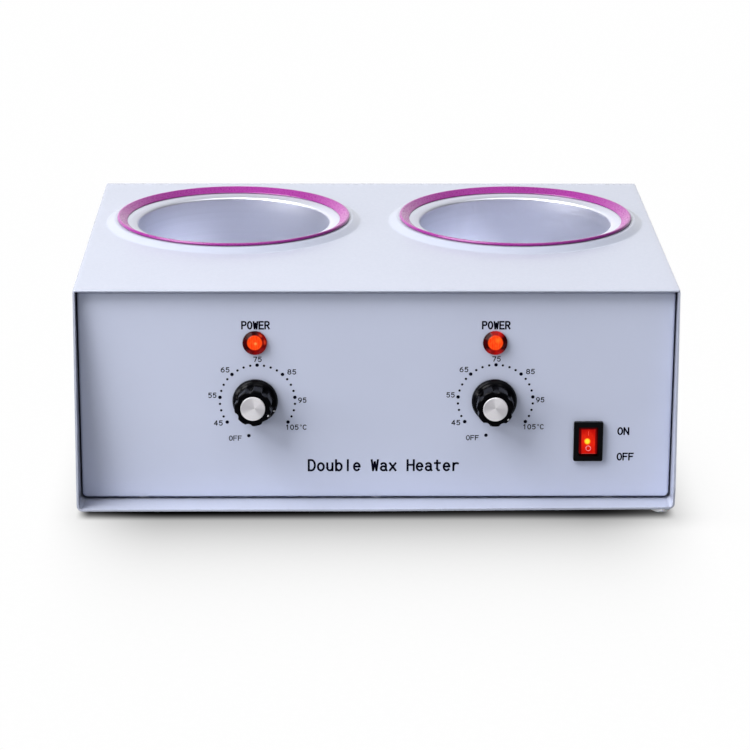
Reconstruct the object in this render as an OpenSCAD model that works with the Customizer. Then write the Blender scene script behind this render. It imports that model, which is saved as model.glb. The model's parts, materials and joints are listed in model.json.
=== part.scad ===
// Double-pot wax warmer: folded sheet case with two lift-out pots, two
// thermostat dials, two pilot lamps and one rocker switch.
// X to the right, Y to the back, Z up, origin on the floor under the case centre.

/* [Case] */
// Width of the case across its side walls
case_w = 306; // [300:1:320]
// Depth of the top cover, front edge to rear edge
case_d = 226.5; // [218:0.5:234]
// Height of the case without its feet
case_h = 114; // [110:1:124]
// How far the lower front edge stands ahead of the upper front edge
front_lean = 11.5; // [6:0.5:14]
// Thickness of the folded sheet
sheet = 1; // [0.8:0.1:1.2]
// Outside bend radius of the lower shell
bend_r = 3; // [2.5:0.5:5]
// How far the front and rear panels sit back from the case edges
panel_recess = 4; // [3:0.5:6]
// Gap all round the front and rear panels
panel_gap = 0.8; // [0.5:0.1:1.5]
// Height of the stick-on feet
foot_h = 2; // [1.8:0.1:4]
// How far the lower front edge runs back at the right corner
edge_skew = 2.8; // [0:0.1:5]
// Radius of the stick-on feet
foot_r = 5.6; // [5:0.1:7]

/* [Pots] */
// Half the distance between the two pot axes
pot_x = 77.35; // [76.5:0.05:78]
// How far the pair of pots sits to the right of the middle
pot_shift = 0.75; // [0:0.05:1]
// Distance of the pot axes behind the middle of the case
pot_y = 32.55; // [30:0.05:36]
// Inside radius of the inner pot
pot_r = 52.5; // [51.5:0.5:53]
// Wall thickness of the inner pot
pot_t = 1.2; // [0.8:0.1:1.3]
// Depth of the inner pot, lip to floor
pot_depth = 59.6; // [50:0.2:62]
// Depth of the bell-mouth at the pot lip
lip_h = 2.4; // [2:0.1:4]
// Outside radius of the plastic rim ring
rim_r = 63.75; // [63.5:0.05:64.5]
// Outside radius of the stamped collar at its foot
collar_r = 69.4; // [68:0.2:72]
// Height of the stamped collar above the cover
collar_h = 2.4; // [2:0.1:2.6]

/* [Front panel] */
// Distance of the left dial axis from the middle
left_dial_x = 61.8; // [58:0.2:64]
// Distance of the right dial axis from the middle
right_dial_x = 60.2; // [58:0.2:64]
// Height of the dial axes above the floor
dial_z = 56.7; // [54:0.2:60]
// Height of the pilot lamps above the floor
lamp_z = 87.4; // [84:0.1:92]
// Distance of the rocker switch from the middle
switch_x = 108.8; // [104:0.1:114]
// Height of the rocker switch above the floor
switch_z = 34.8; // [30:0.1:40]

/* [Knobs] */
// Angle of the left pointer, clockwise from the top
left_pointer = 116; // [-120:1:130]
// Angle of the right pointer, clockwise from the top
right_pointer = 130; // [-120:1:130]
// Radius of the knob skirt
skirt_r = 11.6; // [10.5:0.1:12]
// Radius over the knob lobes
lobe_r = 9.1; // [8.6:0.1:9.4]
// Number of grip lobes
lobes = 7; // [5:2:9]
// How far the knob stands out from the panel
knob_out = 13.6; // [12.5:0.1:14.5]
// Radius of the metal disc on the knob
disc_r = 6.45; // [6:0.05:6.6]

/* [Rear] */
// Distance of the mains inlet from the middle
inlet_x = 108; // [100:1:116]
// Height of the mains inlet above the floor
inlet_z = 34; // [28:1:40]
// Number of vent slots in each row of the rear panel
vents = 9; // [5:1:11]

/* [Hidden] */
$fn = 96;

LEFT = -1;
RIGHT = 1;
SIDES = [LEFT, RIGHT];

// case and panels
base_z = foot_h;                            // underside of the case
floor_z = base_z + sheet;                   // upper face of the bottom sheet
top_z = foot_h + case_h;                    // upper face of the cover
rear_edge_y = (case_d + front_lean) / 2;
low_edge_y = -rear_edge_y;                  // lower front edge
top_edge_y = rear_edge_y - case_d;          // upper front edge
front_y = top_edge_y + panel_recess;        // front face of the front panel
inside_y = front_y + sheet + 0.05;          // just behind the front panel sheet
rear_y = rear_edge_y - panel_recess;        // rear face of the rear panel
panel_w = case_w - 2 * sheet - 2 * panel_gap;
panel_z0 = floor_z + 1.2;                   // lower edge of the panels
panel_z1 = top_z - sheet - 1;               // upper edge of the panels
flange = 12;                                // depth of the panel flanges

// screws
screw_r = 1.5;                              // small screws
hole_r = screw_r + 0.1;
big_screw_r = 2;                            // bracket and earth screws
big_hole_r = big_screw_r + 0.1;
panel_screw_x = [-120, 0, 120];
front_row_y = front_y + 7;
rear_row_y = rear_y - 7;
side_screw_y = [-62, 74];
side_screw_z = top_z - 9;
tab_x = [-52.5, 52.5];                      // bracket screws, from the pot axis
tab_y = [-15, 15];

// pots and wells
collar_z = top_z + collar_h;                // top of the collars
lip_z = top_z + 1.1;                        // top of the pot lip
lip_r = 58.5;                               // where the lip turns level
pot_floor_z = lip_z - pot_depth;
pot_under_z = pot_floor_z - pot_t;
well_r = pot_r + pot_t + 0.4;               // inside radius of the well
well_out_r = well_r + 1.5;
well_floor_z = pot_under_z - 0.1;
well_under_z = well_floor_z - 2;
band_out_r = well_out_r + 1.55;             // outside of the heater band
clamp_y = -band_out_r - 5;                  // clamp screw, from the pot axis
clamp_z = 82;
bulb_y = pot_y - 34;                        // capillary bulb axis
bulb_z = well_under_z - 4;

// electrical parts
tag_x = 9;                                  // thermostat tags, from the dial axis
tag_z = [-12.6, 3.4];
switch_w = 12.9;                            // switch body
switch_h = 19;
pivot_y = front_y + 2;                      // rocker pivot
inlet_w = 27.2;                             // inlet body
inlet_h = 19.7;
inlet_screw_x = 20;                         // from the inlet axis
pins = [[-7, -2], [0, 2], [7, -2]];         // x, z from the inlet axis
earth_x = inlet_x - 28;                     // earth screw in the floor
earth_y = rear_edge_y - 30;
wire_r = 1.1;

steel = [0.8, 0.8, 0.82];
shell_grey = [0.76, 0.78, 0.85];

function pot_axis(side) = pot_shift + side * pot_x;
function dial_x(side) = side == LEFT ? -left_dial_x : right_dial_x;
function pointer(side) = side == LEFT ? left_pointer : right_pointer;

// ---- outlines --------------------------------------------------------------

// points of an elliptic or circular arc, angles in degrees
function oval(x, y, rx, ry, from, to, steps) =
    [for (i = [0:steps]) let (a = from + (to - from) * i / steps) [x + rx * cos(a), y + ry * sin(a)]];
function arc(x, y, r, from, to, steps) = oval(x, y, r, r, from, to, steps);

// rectangle standing on y = 0 with its lower corners rounded
module low_round(w, h, r) {
    difference() {
        translate([-w / 2, 0]) square([w, h]);
        for (side = SIDES) difference() {
            translate([side * (w / 2 - r / 2), r / 2]) square([r + 0.002, r + 0.002], center = true);
            translate([side * (w / 2 - r), r]) circle(r);
        }
    }
}

// slot with round ends, long in y
module slot(w, length) {
    square([w, length - w], center = true);
    for (end = [-1, 1]) translate([0, end * (length - w) / 2]) circle(w / 2, $fn = 24);
}

// ---- solids ----------------------------------------------------------------

// cylinders along +Y and +X
module cyl_y(r, y0, y1) { translate([0, y0, 0]) rotate([-90, 0, 0]) cylinder(r = r, h = y1 - y0); }
module cyl_x(r, x0, x1) { translate([x0, 0, 0]) rotate([0, 90, 0]) cylinder(r = r, h = x1 - x0); }

// box centred in X and Z, running back from y0
module box_y(w, h, y0, length) { translate([-w / 2, y0, -h / 2]) cube([w, length, h]); }

// X-Z outline as a plate of thickness t, running back from y
module plate_xz(y, t) { translate([0, y + t, 0]) rotate([90, 0, 0]) linear_extrude(t) children(); }

// Y-Z outline extruded along +X from x0
module along_x(x0, length) {
    translate([x0, 0, 0]) rotate([90, 0, 90]) linear_extrude(length) children();
}

// turned about a Y axis: profile points are [radius, distance ahead of the front panel]
module turn_y() { translate([0, front_y, 0]) rotate([90, 0, 0]) rotate_extrude() children(); }

// upright hole cutter or pin
module post(r, z0, h, sides = 32) { translate([0, 0, z0]) cylinder(r = r, h = h, $fn = sides); }

module hex_nut(bore_r, across_flats, h) {
    difference() {
        cylinder(r = across_flats / sqrt(3), h = h, $fn = 6);
        post(bore_r, -1, h + 2);
    }
}
module small_nut() { hex_nut(screw_r + 0.05, 5.5, 2.4); }

// cross-recessed screw: head below z = 0, shank up to z = length
module pan_screw(r, head_r, head_h, length) {
    bevel = 0.5;
    difference() {
        union() {
            post(r, 0, length);
            translate([0, 0, -head_h]) cylinder(r1 = head_r - bevel, r2 = head_r, h = bevel, $fn = 40);
            post(head_r, -head_h + bevel, head_h - bevel, 40);
        }
        for (a = [0, 90]) rotate(a)
            translate([-head_r * 0.55, -0.3, -head_h - 0.01]) cube([head_r * 1.1, 0.6, 0.8]);
    }
}
module small_screw(length) { pan_screw(screw_r, 2.9, 1.5, length); }
module big_screw(length) { pan_screw(big_screw_r, 3.7, 1.6, length); }

// Wire along a smooth path: the polyline has its corners cut twice, then a
// hexagon is carried along it without twist.
function unit(v) = v / norm(v);
function cut_corners(p) = concat(
    [p[0]],
    [for (i = [0:len(p) - 2]) each [p[i] * 0.72 + p[i + 1] * 0.28, p[i] * 0.28 + p[i + 1] * 0.72]],
    [p[len(p) - 1]]);
function tangents(p) = [for (i = [0:len(p) - 1]) unit(p[min(i + 1, len(p) - 1)] - p[max(i - 1, 0)])];
function carry(tangent, normal, i = 0) =
    i == len(tangent) ? [] :
    let (next = unit(normal - (normal * tangent[i]) * tangent[i]))
    concat([next], carry(tangent, next, i + 1));

module sweep(path, r) {
    k = 6;  // sides of the section
    p = cut_corners(cut_corners(path));
    tangent = tangents(p);
    normal = carry(tangent, abs(tangent[0][2]) > 0.8 ? [1, 0, 0.1] : [0.1, 0.05, 1]);
    last = len(p) - 1;
    points = [for (i = [0:last]) let (side = cross(tangent[i], normal[i])) for (j = [0:k - 1])
        p[i] + r * (cos(360 * j / k) * normal[i] + sin(360 * j / k) * side)];
    faces = concat(
        [[for (j = [0:k - 1]) j]],
        [[for (j = [0:k - 1]) last * k + k - 1 - j]],
        [for (i = [0:last - 1]) for (j = [0:k - 1])
            let (here = i * k, ahead = here + k, next = (j + 1) % k)
            each [[ahead + next, here + next, here + j], [ahead + j, ahead + next, here + j]]]);
    polyhedron(points = points, faces = faces, convexity = 6);
}

// ---- places ----------------------------------------------------------------

module at_pot(side) { translate([pot_axis(side), pot_y, 0]) children(); }
module at_pots() { for (side = SIDES) at_pot(side) children(); }
module at_tabs() { for (x = tab_x) for (y = tab_y) translate([x, y, 0]) children(); }
module at_dial(side) { translate([dial_x(side), 0, dial_z]) children(); }
module at_knob(side) { at_dial(side) rotate([0, pointer(side), 0]) children(); }
module at_lamp(side) { translate([dial_x(side), 0, lamp_z]) children(); }
module at_switch() { translate([switch_x, 0, switch_z]) children(); }
module at_inlet() { translate([inlet_x, 0, inlet_z]) children(); }
module at_panel_screws(rows = [front_row_y, rear_row_y]) {
    for (x = panel_screw_x) for (y = rows) translate([x, y, 0]) children();
}

// ---- case ------------------------------------------------------------------

module lower_shell() {
    corner_y = low_edge_y + edge_skew;
    color([0.88, 0.89, 0.94]) difference() {
        // U-shaped sheet, cut to the leaning front edge
        intersection() {
            translate([0, 0, base_z]) plate_xz(low_edge_y, 2 * rear_edge_y) difference() {
                low_round(case_w, case_h - sheet, bend_r);
                translate([0, sheet]) low_round(case_w - 2 * sheet, case_h, bend_r - sheet);
            }
            along_x(-case_w, 2 * case_w) polygon([
                [low_edge_y, base_z - 1], [low_edge_y, base_z], [top_edge_y, top_z],
                [top_edge_y, top_z + 5], [rear_edge_y + 5, top_z + 5], [rear_edge_y + 5, base_z - 1]]);
        }
        // the lower front edge runs back towards the right, and that corner is trimmed
        translate([0, 0, base_z - 1]) linear_extrude(1 + sheet + 0.01) polygon([
            [0, low_edge_y - 1], [0, low_edge_y],
            [case_w / 2 + 1, corner_y], [case_w / 2 + 1, low_edge_y - 1]]);
        along_x(case_w / 2 - 6, 8) polygon([
            [low_edge_y - 1, base_z - 1], [corner_y, base_z - 1], [corner_y, base_z],
            [low_edge_y + 1.1, base_z + 12], [low_edge_y - 1, base_z + 12]]);
        at_panel_screws() post(hole_r, base_z - 1, 3);
        at_pots() at_tabs() post(big_hole_r, base_z - 1, 3);
        for (y = side_screw_y) translate([0, y, side_screw_z]) cyl_x(hole_r, -case_w, case_w);
        // a row of floor slots ahead of each pot axis
        for (side = SIDES) for (i = [-3:3])
            translate([pot_axis(side) + i * 9 - 1.75, -62, base_z - 1]) cube([3.5, 44, 3]);
        translate([earth_x, earth_y, 0]) post(big_hole_r, base_z - 1, 3);
    }
}

module top_cover() {
    ear_x = case_w / 2 - 1.5 * sheet - 0.05;  // mid-plane of the side flanges
    color([0.9, 0.91, 0.95]) difference() {
        union() {
            difference() {
                translate([-case_w / 2, top_edge_y, top_z - sheet]) cube([case_w, case_d, sheet]);
                at_pots() translate([0, 0, top_z - 3]) cylinder(r = collar_r + 1.5, h = 6);
            }
            // stamped collars
            at_pots() rotate_extrude() polygon(concat(
                [[collar_r + 2.5, top_z - sheet], [collar_r + 2.5, top_z], [collar_r, top_z]],
                arc(rim_r + 1.4, collar_z - 1.2, 1.2, 35, 90, 5),
                [[rim_r - 1.95, collar_z], [rim_r - 1.95, collar_z - sheet],
                 [rim_r + 0.9, collar_z - sheet], [collar_r - 0.9, top_z - sheet]]));
            for (side = SIDES) translate([side * ear_x - sheet / 2, top_edge_y + 22, top_z - 13])
                cube([sheet, case_d - 44, 12.5]);
        }
        for (y = side_screw_y) translate([0, y, side_screw_z])
            cyl_x(screw_r + 0.05, -case_w, case_w);
    }
}

// folded tray with its outer face at y and four flanges; dir = +1 folds towards +Y
module tray(y, dir) {
    sheet_y = dir > 0 ? y : y - sheet;
    flange_y = dir > 0 ? y + sheet / 2 : y - flange - sheet / 2;
    inset = 6;  // flange ends, from the panel corners
    translate([0, 0, panel_z0]) plate_xz(sheet_y, sheet) low_round(panel_w, panel_z1 - panel_z0, 2.5);
    for (z = [panel_z0, panel_z1 - sheet])
        translate([-panel_w / 2 + inset, flange_y, z]) cube([panel_w - 2 * inset, flange, sheet]);
    for (side = SIDES)
        translate([side * (panel_w / 2 - sheet / 2) - sheet / 2, flange_y, panel_z0 + inset])
            cube([sheet, flange, panel_z1 - panel_z0 - 2 * inset]);
}

module front_panel() {
    color(shell_grey) difference() {
        tray(front_y, 1);
        for (side = SIDES) {
            at_dial(side) cyl_y(4.9, front_y - 1, front_y + 3);
            at_lamp(side) cyl_y(5, front_y - 1, front_y + 3);
        }
        at_switch() box_y(switch_w + 0.3, switch_h + 0.3, front_y - 1, 3);
        at_panel_screws([front_row_y]) post(hole_r, panel_z0 - 1, 3);
    }
}

module rear_panel() {
    vent_pitch = 10;
    vent_mid_x = -45;
    color(shell_grey) difference() {
        tray(rear_y, -1);
        at_inlet() {
            box_y(inlet_w + 0.4, inlet_h + 0.4, rear_y - 2, 4);
            for (side = SIDES) translate([side * inlet_screw_x, 0, 0])
                cyl_y(hole_r, rear_y - 3, rear_y + 1);
        }
        at_panel_screws([rear_row_y]) post(hole_r, panel_z0 - 1, 3);
        for (z = [72, 96]) plate_xz(rear_y - 3, 5) for (i = [0:vents - 1])
            translate([vent_mid_x + (i - (vents - 1) / 2) * vent_pitch, z]) slot(3.5, 18);
    }
}

module cover_screws() {
    color(steel) for (side = SIDES) for (y = side_screw_y)
        translate([side * case_w / 2, y, side_screw_z]) rotate([0, -side * 90, 0]) small_screw(7);
}

module panel_screws() {
    color(steel) at_panel_screws() translate([0, 0, base_z]) small_screw(8.5);
}

module panel_spacers() {
    color([0.95, 0.95, 0.93]) at_panel_screws() translate([0, 0, floor_z]) difference() {
        post(4, 0, 1.2, 40);
        post(screw_r + 0.15, -1, 4);
    }
}

module panel_nuts() {
    color(steel) at_panel_screws() translate([0, 0, panel_z0 + sheet]) small_nut();
}

module feet() {
    half_w = case_w / 2;
    places = [
        [-half_w + 17, low_edge_y + 15], [half_w - 6.7, low_edge_y + 8.3],
        [-half_w + 14, rear_edge_y - 14], [half_w - 14, rear_edge_y - 14]];
    color([0.86, 0.86, 0.87]) for (place = places) translate(place) rotate_extrude($fn = 64) polygon([
        [0, 0], [foot_r - 1.1, 0], [foot_r - 0.4, 0.35], [foot_r, 1], [foot_r, foot_h], [0, foot_h]]);
}

// ---- pots: profile points are [radius, z] ----------------------------------

module inner_pot(side) {
    corner_r = 4;  // inside, wall to floor
    corner_x = pot_r - corner_r;
    corner_z = pot_floor_z + corner_r;
    mouth_z = lip_z - lip_h;
    color([0.78, 0.79, 0.82]) at_pot(side) rotate_extrude() polygon(concat(
        [[0, pot_under_z]],
        arc(corner_x, corner_z, corner_r + pot_t, -90, 0, 8),
        oval(lip_r, mouth_z, lip_r - pot_r - pot_t, lip_h - pot_t, 180, 90, 8),
        [[60.3, lip_z - pot_t], [60.4, lip_z - 0.6], [60.3, lip_z]],
        oval(lip_r, mouth_z, lip_r - pot_r, lip_h, 90, 180, 12),
        arc(corner_x, corner_z, corner_r, 0, -90, 8),
        [[0, pot_floor_z]]));
}

// ring that grips the pot lip and rests above the collar
module pot_rim(side) {
    seat_z = collar_z + 0.1;
    under_z = lip_z - pot_t - 0.1;
    color([0.68, 0.2, 0.6]) at_pot(side) rotate_extrude() polygon(concat(
        [[61.6, seat_z], [rim_r - 0.15, seat_z], [rim_r, seat_z + 0.4]],
        arc(rim_r - 0.8, seat_z + 0.75, 0.8, 0, 100, 5),
        [[62.3, top_z + 3.75], [58.5, lip_z + 0.5], [58.15, lip_z + 0.25], [58.1, lip_z + 0.1],
         [60.6, lip_z + 0.1], [60.6, under_z], [59.2, under_z],
         [59.2, under_z - 1.2], [61.6, under_z - 1.2]]));
}

module heating_well(side) {
    color([0.7, 0.71, 0.73]) at_pot(side) {
        rotate_extrude() polygon([
            [0, well_under_z], [well_out_r - 3, well_under_z], [well_out_r, well_under_z + 3],
            [well_out_r, top_z - 5], [well_out_r + 2.5, top_z - 5], [well_out_r + 2.5, top_z - 4],
            [well_r, top_z - 4], [well_r, well_floor_z + 3], [well_r - 2, well_floor_z],
            [0, well_floor_z]]);
        post(3, well_under_z - 13, 13.5, 40);  // stud under the well
    }
}

// split ring with two clamp lugs at the front
module heater_band(side) {
    band_z = 64;
    band_h = 36;
    color([0.62, 0.6, 0.55]) at_pot(side) difference() {
        union() {
            translate([0, 0, band_z]) difference() {
                cylinder(r = band_out_r, h = band_h);
                translate([0, 0, -1]) cylinder(r = well_out_r + 0.05, h = band_h + 2);
                translate([-2.5, -band_out_r - 2, -1]) cube([5, 6, band_h + 2]);
            }
            for (end = [-1, 1])
                translate([end * 3.1 - 0.6, -band_out_r - 9, clamp_z - 8]) cube([1.2, 9.9, 16]);
        }
        translate([0, clamp_y, clamp_z]) cyl_x(hole_r, -6, 6);
    }
}

module band_clamp_screws() {
    color(steel) at_pots() translate([0, clamp_y, clamp_z]) {
        translate([-3.7, 0, 0]) rotate([0, 90, 0]) small_screw(12);
        translate([3.7, 0, 0]) rotate([0, 90, 0]) small_nut();
    }
}

module insulation(side) {
    height = 48;
    color([0.93, 0.9, 0.8]) at_pot(side) translate([0, 0, 58]) difference() {
        cylinder(r = 64.5, h = height);
        translate([0, 0, -1]) cylinder(r = band_out_r + 0.1, h = height + 2);
        translate([-13, -70, 8]) cube([26, 20, 32]);  // window for the clamp lugs
    }
}

// bridge under the well: deck, two legs and two tabs on the case floor
module well_bracket(side) {
    plate_t = 1.5;
    deck_w = 90;
    depth = 44;
    tab_w = 16.5;
    color([0.7, 0.72, 0.74]) at_pot(side) difference() {
        union() {
            translate([-deck_w / 2, -depth / 2, well_under_z - plate_t]) cube([deck_w, depth, plate_t]);
            for (end = [-1, 1]) {
                translate([end * (deck_w - plate_t) / 2 - plate_t / 2, -depth / 2, floor_z])
                    cube([plate_t, depth, well_under_z - floor_z]);
                translate([end * 52.25 - tab_w / 2, -depth / 2, floor_z]) cube([tab_w, depth, plate_t]);
            }
        }
        post(3.2, well_under_z - 3, 6, 40);
        at_tabs() post(big_hole_r, floor_z - 1, 4);
        for (x = [-27, 27]) translate([x, 0, 0]) post(8, well_under_z - 3, 6, 48);
    }
}

module bracket_screws() {
    color(steel) at_pots() at_tabs() translate([0, 0, base_z]) big_screw(9);
}

module bracket_nuts() {
    color(steel) at_pots() at_tabs() translate([0, 0, floor_z + 1.5])
        hex_nut(big_screw_r + 0.05, 7, 3.2);
}

module well_nuts() {
    color(steel) at_pots() translate([0, 0, well_under_z - 6.5]) hex_nut(3.05, 10, 5);
}

// ---- thermostats -----------------------------------------------------------

module thermostat_body(side) {
    body_len = 28;
    color([0.85, 0.83, 0.76]) at_dial(side) difference() {
        union() {
            box_y(34, 40, inside_y + 1, body_len);
            box_y(40, 24, inside_y, 1.2);
            cyl_y(4.75, front_y - 3.4, inside_y + 2);  // bush through the panel
            for (end = [-1, 1]) for (z = tag_z)
                translate([end * tag_x, 0, z]) box_y(6.3, 0.8, inside_y + body_len, 9);
        }
        cyl_y(3.05, front_y - 5, inside_y + 22);
    }
}

module thermostat_shaft(side) {
    color(steel) at_knob(side) difference() {
        cyl_y(3, front_y - 10.4, front_y + 22);
        translate([-4, front_y - 11, -4]) cube([8, 7, 2.5]);  // flat opposite the pointer
    }
}

module thermostat_nuts() {
    color(steel) for (side = SIDES)
        at_dial(side) translate([0, front_y, 0]) rotate([90, 0, 0]) hex_nut(4.8, 12, 2.2);
}

// point at a distance behind the front panel face
function behind(x, distance, z) = [x, front_y + distance, z];

module capillary_bulb(side) {
    mid_x = pot_axis(side);
    end_x = dial_x(side);
    color([0.76, 0.5, 0.32]) {
        translate([mid_x, bulb_y, bulb_z]) cyl_x(3, -30, 30);
        sweep([
            [mid_x - side * 29.5, bulb_y, bulb_z],
            [mid_x - side * 36, bulb_y, bulb_z],
            [mid_x - side * 40, pot_y - 40, bulb_z - 6],
            [mid_x - side * 34, pot_y - 50, 26],
            [end_x + side * 4, pot_y - 66, 28],
            behind(end_x, 35, 38),
            behind(end_x, 35, 46),
            behind(end_x, 30.15, 46)], 0.9);
    }
}

module bulb_clips() {
    color(steel) for (side = SIDES) for (x = [-18, 18])
        translate([pot_axis(side) + x, bulb_y, bulb_z]) difference() {
            union() {
                cyl_x(3.85, -4, 4);
                translate([-4, -9, 3.2]) cube([8, 18, 0.8]);
            }
            cyl_x(3.05, -5, 5);
            translate([-5, -2, -5]) cube([10, 4, 4]);
        }
}

// ---- knobs -----------------------------------------------------------------

knob_screw_y = front_y - 7.4;

module knob(side) {
    color([0.05, 0.05, 0.055]) at_knob(side) difference() {
        union() {
            turn_y() polygon([
                [0, 0.75], [skirt_r - 0.5, 0.75], [skirt_r, 1.1], [skirt_r - 0.2, 2.6],
                [skirt_r - 1.1, 3.5], [9.2, 4.2], [0, 4.2]]);
            translate([0, front_y - 4, 0]) rotate([90, 0, 0]) linear_extrude(knob_out - 4.5) difference() {
                circle(lobe_r);
                for (i = [0:lobes - 1]) rotate(90 + (i + 0.5) * 360 / lobes)
                    translate([lobe_r + 1.7, 0]) circle(3.1, $fn = 48);
            }
        }
        cyl_y(8.2, front_y - 3.9, front_y);           // hollow behind the skirt
        cyl_y(3.05, front_y - 10.6, front_y);         // shaft bore
        cyl_y(disc_r + 0.05, front_y - knob_out - 1, front_y - knob_out + 1.0);
        // screw hole opposite the pointer: start z, length
        for (hole = [[-3.5, 8], [-1, 4]]) translate([0, knob_screw_y, hole[0]])
            rotate([180, 0, 0]) cylinder(r = screw_r + 0.05, h = hole[1], $fn = 32);
    }
}

module knob_cap(side) {
    color([0.85, 0.85, 0.87]) at_knob(side) turn_y() polygon([
        [0, knob_out - 0.95], [disc_r, knob_out - 0.95], [disc_r, knob_out - 0.35],
        [disc_r - 0.35, knob_out], [0, knob_out]]);
}

module knob_screw(side) {
    color([0.7, 0.7, 0.72]) at_knob(side) difference() {
        translate([0, knob_screw_y, -1.6]) rotate([180, 0, 0]) cylinder(r = screw_r, h = 5.4, $fn = 32);
        translate([-0.3, front_y - 10, -8]) cube([0.6, 5, 1.8]);
    }
}

// ---- lamps -----------------------------------------------------------------

socket_r = 4.95;

module lamp_lens(side) {
    color([0.8, 0.08, 0.03, 0.9]) at_lamp(side) turn_y() polygon([
        [0, 3.1], [4.2, 3.1], [6.1, 1.3], [6.25, 0.9], [6.2, 0.05], [socket_r, 0.05],
        [socket_r, -9.2], [3.9, -9.2], [3.9, 1.4], [0, 1.4]]);
}

module lamp_sockets() {
    color([0.12, 0.12, 0.12]) for (side = SIDES)
        at_lamp(side) cyl_y(socket_r, front_y + 9.3, front_y + 22);
}

module neon_bulbs() {
    color([1, 0.55, 0.2]) for (side = SIDES) at_lamp(side) turn_y() polygon([
        [0, 1], [1.4, 0.6], [2.5, -0.6], [2.9, -2], [2.9, -9.25], [0, -9.25]]);
}

module lamp_clips() {
    color(steel) for (side = SIDES) at_lamp(side) difference() {
        cyl_y(7.4, inside_y, front_y + sheet + 1.2);
        cyl_y(5, front_y, front_y + 5);
        for (a = [0, 60, 120]) rotate([0, a, 0]) box_y(1.2, 12.4, front_y, 5);
    }
}

module thermal_fuses() {
    color([0.85, 0.85, 0.8]) at_pots() translate([0, -50, well_under_z - 3.2]) cyl_x(2, -8, 8);
}

// ---- switch ----------------------------------------------------------------

module switch_housing() {
    bezel = [15, 21];
    corner_r = 0.8;
    color([0.04, 0.04, 0.045]) at_switch() difference() {
        union() {
            plate_xz(front_y - 2, 2) difference() {
                square(bezel, center = true);
                for (a = [-1, 1]) for (b = [-1, 1]) difference() {
                    translate([a * (bezel[0] - corner_r) / 2, b * (bezel[1] - corner_r) / 2])
                        square(corner_r + 0.01, center = true);
                    translate([a * (bezel[0] / 2 - corner_r), b * (bezel[1] / 2 - corner_r)])
                        circle(corner_r, $fn = 32);
                }
            }
            box_y(switch_w, switch_h, front_y - 0.5, 15);
        }
        box_y(9.8, 15.4, front_y - 3, 12.5);
        translate([0, pivot_y, 0]) cyl_x(1.05, -6.1, 6.1);
    }
}

module switch_rocker() {
    width = 9.3;
    color([0.85, 0.05, 0.03, 0.9]) translate([switch_x, pivot_y, switch_z]) rotate([-9, 0, 0]) {
        intersection() {
            // side view, [y, z] from the pivot
            along_x(-width / 2, width) polygon([
                [-3.6, 6.0], [-4.5, 6.7], [-3.5, 0], [-4.5, -6.7], [-3.6, -6.9],
                [2.5, -4.6], [3.5, 0], [2.5, 4.6], [-3.2, 6.9], [-3.9, 6.95]]);
            // plan view, narrower at the front
            translate([0, 0, -9]) linear_extrude(18) polygon([
                [-3.75, -6], [3.75, -6], [4.65, -3.1], [4.65, 4], [-4.65, 4], [-4.65, -3.1]]);
        }
        cyl_x(1, -6, 6);
    }
}

module switch_terminals() {
    color([0.85, 0.75, 0.45]) for (z = [-6, 0, 6])
        at_switch() translate([0, 0, z]) box_y(4.8, 0.8, front_y + 14.55, 8);
}

// ---- mains inlet -----------------------------------------------------------

module at_pins() { at_inlet() for (pin = pins) translate([pin[0], 0, pin[1]]) children(); }

module mains_inlet() {
    color([0.06, 0.06, 0.065]) difference() {
        at_inlet() {
            plate_xz(rear_y + 0.02, 2) polygon([
                [-25, -3], [-21, -11], [21, -11], [25, -3], [25, 3], [21, 11], [-21, 11], [-25, 3]]);
            box_y(inlet_w, inlet_h, rear_y - 20, 20.5);
        }
        at_inlet() {
            // plug socket
            plate_xz(rear_y - 15, 20) polygon([
                [-12.2, -8.2], [12.2, -8.2], [12.2, 3.6], [7.6, 8.2], [-7.6, 8.2], [-12.2, 3.6]]);
            for (side = SIDES) translate([side * inlet_screw_x, 0, 0])
                cyl_y(hole_r, rear_y - 1, rear_y + 4);
        }
        at_pins() box_y(2.1, 4.1, rear_y - 25, 20);
    }
}

module inlet_pins() { color([0.85, 0.8, 0.6]) at_pins() box_y(2, 4, rear_y - 28, 27); }

module inlet_screws() {
    color(steel) at_inlet() for (side = SIDES) translate([side * inlet_screw_x, rear_y + 2.02, 0]) {
        rotate([90, 0, 0]) pan_screw(screw_r, 2.8, 1.4, 8);
        translate([0, -3.05, 0]) rotate([90, 0, 0]) small_nut();
    }
}

// ---- wires -----------------------------------------------------------------

// points at an inlet pin, a thermostat tag (end = -1 or +1 in X) and the switch
function at_pin(i, distance = 28.1, drop = 0) =
    [inlet_x + pins[i][0], rear_y - distance, inlet_z + pins[i][1] - drop];
function at_tag(side, end, row, distance = 38.2) =
    behind(dial_x(side) + end * tag_x, distance, dial_z + tag_z[row]);
function at_terminal(z, distance = 22.65) = behind(switch_x, distance, switch_z + z);

module mains_wires() {
    // pin, rear x and front x from the switch, run height, terminal z, last bend
    runs = [[2, 5, 3, 20, 6, 38], [0, -8, -6, 16, -6, 40]];
    color([0.45, 0.25, 0.15]) for (run = runs) sweep([
        at_pin(run[0]),
        at_pin(run[0], 44, 2),
        [switch_x + run[1], 40, run[3]],
        [switch_x + run[2], -40, run[3]],
        at_terminal(run[4], run[5]),
        at_terminal(run[4])], wire_r);
}

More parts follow.
